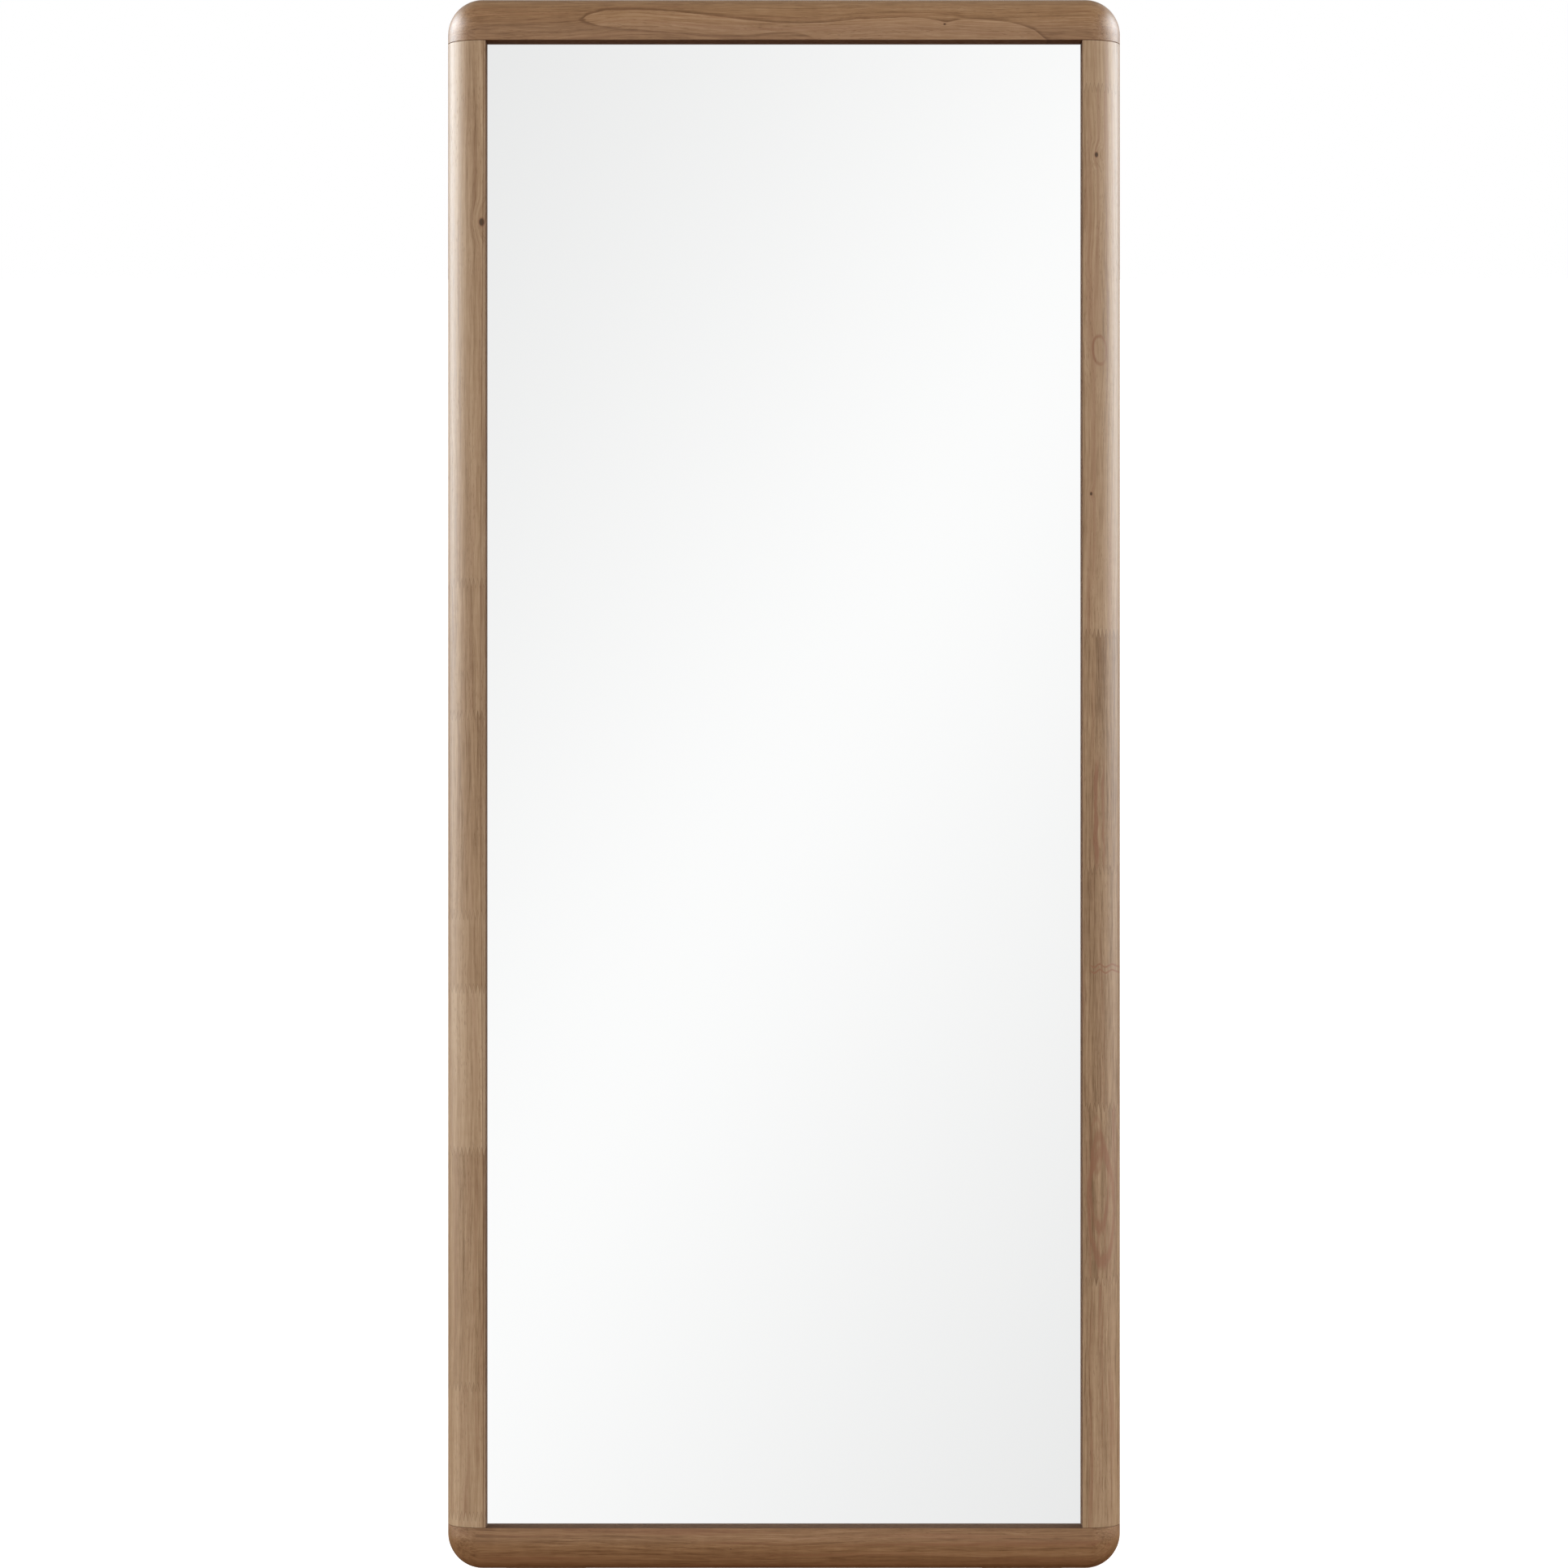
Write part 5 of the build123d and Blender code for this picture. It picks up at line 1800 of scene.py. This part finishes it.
class MIRROR_OT_cross_rails(bpy.types.Operator):
    """Makes the two cross rails between the legs."""

    bl_idname = "mirror.cross_rails"
    bl_label = "Cross rails"

    def execute(self, context):
        make_cross_rail("upper_cross_rail", 75.0)
        make_cross_rail("lower_cross_rail", 83.0)
        return {"FINISHED"}


class MIRROR_OT_boots(bpy.types.Operator):
    """Makes the rubber boots on the legs, the frame's feet and the dots behind it."""

    bl_idname = "mirror.boots"
    bl_label = "Rubber boots, feet and dots"

    def execute(self, context):
        boot_finish = rubber("boot_rubber", tones().rubber)
        foot_finish = rubber("foot_rubber", tones().foot, 0.10)
        for side in ("left", "right"):
            make_boot(side + "_leg_boot", boot_finish)
            make_foot(side + "_frame_foot", foot_finish)
        make_bumpers()
        return {"FINISHED"}


class MIRROR_OT_inner_parts(bpy.types.Operator):
    """Finishes the parts that are kept as packed: dowels, foam tape, sleeves and nylon washers."""

    bl_idname = "mirror.inner_parts"
    bl_label = "Inner parts"

    def execute(self, context):
        beech = Vector(tones().dowel)
        palette = (beech * 0.6, beech, beech * 1.2)
        dress_node("corner_dowels", wood("dowel_wood", UP, RIGHT, DEEPER, FRONT_CORNER, palette, seed=91.0,
                                         red=0.05, contrast=0.6))
        dress_node("cushion_tape", moulded("foam_tape", tones().foam, 0.85, 0.4, 1.2))
        dress_node("leg_bushes", turned_brass())
        dress_node("leg_spacers", moulded("spacer_nylon", tones().nylon, 0.42, 0.6, 0.3))
        return {"FINISHED"}


class MIRROR_OT_stage(bpy.types.Operator):
    """Sets up the pale floor, the soft light and the camera."""

    bl_idname = "mirror.stage"
    bl_label = "Stage"

    def execute(self, context):
        make_floor()
        make_light()
        make_camera()
        return {"FINISHED"}


# ---- the stage ----

def make_floor():
    """A plain pale floor that only the camera and the shadows see."""
    stock = Stock()
    outline = rectangle(studio().floor_size, studio().floor_size, 1.0, 8)
    stock.mesh.faces.new(stock.ring(level(outline, 0)))
    mesh = bpy.data.meshes.new("floor")
    stock.mesh.to_mesh(mesh)
    stock.mesh.free()
    made, bench = material("pale_floor")
    bench.principled(Base_Color=(0.80, 0.80, 0.80, 1), Roughness=0.9, Emission_Color=(1, 1, 1, 1),
                     Emission_Strength=0.78)
    mesh.materials.append(made)
    floor = bpy.data.objects.new("floor", mesh)
    bpy.context.scene.collection.objects.link(floor)
    floor.visible_diffuse = False
    floor.visible_glossy = False


def make_light():
    """Soft light all round, dim overhead and warm from below, with a tall bright panel on each side."""
    world = bpy.data.worlds.new("studio")
    bpy.context.scene.world = world
    bench = Bench(world)
    camera_ray = bench.node("ShaderNodeLightPath", None, None, "Is Camera Ray")
    sharp_ray = bench.node("ShaderNodeLightPath", None, None, "Is Singular Ray")
    glossy_ray = bench.node("ShaderNodeLightPath", None, None, "Is Glossy Ray")
    way = bench.node("ShaderNodeTexCoord", None, None, "Generated")

    def towards(direction):
        return bench.node("ShaderNodeVectorMath", {"operation": "DOT_PRODUCT"},
                          {0: way, 1: direction}, "Value")

    def lamp(tone, strength):
        return bench.node("ShaderNodeBackground", None, {"Color": solid(tone), "Strength": strength})

    def either(share, first, second):
        return bench.node("ShaderNodeMixShader", None, {"Fac": share, 1: first, 2: second})

    right = towards(RIGHT)
    upward = towards(UP)
    side = abs(right)
    height = towards(Vector((0, 0, 1)))
    behind = towards(Vector((0, 1, 0)))
    # What the glass shows: pale, brightest along a slanting band.
    slope = right * 0.854 - upward * 0.521
    band = (slope * slope + 0.0004) ** 0.5
    shown = 1.030 - band.at_most(0.15) * 1.38
    # What lights the wood.
    above = height.rise(-0.18, 0.01)
    ceiling = 1 - height.rise(0.25, 0.85) * 0.70
    panels = side.rise(0.30, 0.80) * studio().side_light
    front = (1 - behind.rise(-0.6, 0.4) * 0.25) * studio().front_light
    tint = bench.blend(above, (1.0, 0.42, 0.13), (1.0, 0.985, 0.965))
    soft = lamp(tint, above * ceiling * (front + panels) + (1 - above) * 0.20)
    # What the lacquer catches: the panels beside the mirror, which end at its middle height.
    off_panel = abs(towards(FRONT) + 0.12)
    panel_height = upward.rise(-0.06, 0.20) * upward.fall(0.45, 0.75)
    panel = off_panel.fall(0.10, 0.80) * side.rise(0.40, 0.80) * panel_height
    from_side = side.rise(0.30, 0.80) * 0.35
    from_back = behind.rise(0.0, 0.5) * side.rise(0.10, 0.40) * 0.6
    faint = above * ceiling * (0.40 - behind.rise(0.70, 0.97) * 0.22 + from_side + from_back)
    shine = panel * (1 - right * 0.12) * studio().panel_light
    white = bench.blend(shine.rise(0.05, 0.60), tint, (0.86, 0.96, 1.04))
    caught = lamp(white, shine + faint + (1 - above) * 0.10)
    lit = either(sharp_ray, either(glossy_ray, soft, caught), lamp((1, 1, 1), shown))
    bench.node("ShaderNodeOutputWorld", None, {"Surface": either(camera_ray, lit, lamp((1, 1, 1), 1.0))})
    bpy.context.scene.view_settings.view_transform = "Standard"


def make_camera():
    """Looks squarely at the middle of the glass; the mirror fills the picture's height."""
    distance = studio().camera_distance
    data = bpy.data.cameras.new("camera")
    round_up = MIDDLE_HEIGHT - sizes().edge_radius
    round_away = distance + sizes().edge_radius
    half_angle = math.atan(round_up / round_away) + math.asin(
        sizes().edge_radius / math.hypot(round_up, round_away))
    data.lens = data.sensor_width / 2 / math.tan(half_angle) * studio().picture_fill
    data.clip_end = 200
    camera = bpy.data.objects.new("camera", data)
    bpy.context.scene.collection.objects.link(camera)
    camera.location = frame_point(0, MIDDLE_HEIGHT, -distance)
    camera.rotation_mode = "QUATERNION"
    camera.rotation_quaternion = DEEPER.to_track_quat("-Z", "Y")
    bpy.context.scene.camera = camera


PIECE_OPERATORS = (
    MIRROR_OT_rails,
    MIRROR_OT_stiles,
    MIRROR_OT_glass,
    MIRROR_OT_backing,
    MIRROR_OT_beads,
    MIRROR_OT_braces,
    MIRROR_OT_brackets,
    MIRROR_OT_bolts,
    MIRROR_OT_screws,
    MIRROR_OT_hangers,
    MIRROR_OT_legs,
    MIRROR_OT_cross_rails,
    MIRROR_OT_boots,
    MIRROR_OT_inner_parts,
    MIRROR_OT_stage,
)


class MIRROR_PT_pieces(bpy.types.Panel):
    """Lists the mirror's pieces and settings."""

    bl_idname = "MIRROR_PT_pieces"
    bl_label = "Cheval Floor Mirror"
    bl_space_type = "VIEW_3D"
    bl_region_type = "UI"
    bl_category = "Mirror"

    def draw(self, context):
        for operator in PIECE_OPERATORS:
            self.layout.operator(operator.bl_idname)
        for group in (context.scene.mirror_sizes, context.scene.mirror_colours, context.scene.mirror_studio):
            column = self.layout.column(align=True)
            for name in group.bl_rna.properties.keys():
                if name not in ("rna_type", "name"):
                    column.prop(group, name)


GROUPS = {"mirror_sizes": MirrorSizes, "mirror_colours": MirrorColours, "mirror_studio": MirrorStudio}


def register():
    for made_class in (*GROUPS.values(), *PIECE_OPERATORS, MIRROR_PT_pieces):
        bpy.utils.register_class(made_class)
    for name, group in GROUPS.items():
        setattr(bpy.types.Scene, name, bpy.props.PointerProperty(type=group))


def unregister():
    for name in GROUPS:
        delattr(bpy.types.Scene, name)
    for made_class in (MIRROR_PT_pieces, *reversed(PIECE_OPERATORS), *GROUPS.values()):
        bpy.utils.unregister_class(made_class)


def main():
    """Makes every piece in order."""
    register()
    for operator in PIECE_OPERATORS:
        group, name = operator.bl_idname.split(".")
        getattr(getattr(bpy.ops, group), name)()


if __name__ == "__main__":
    main()
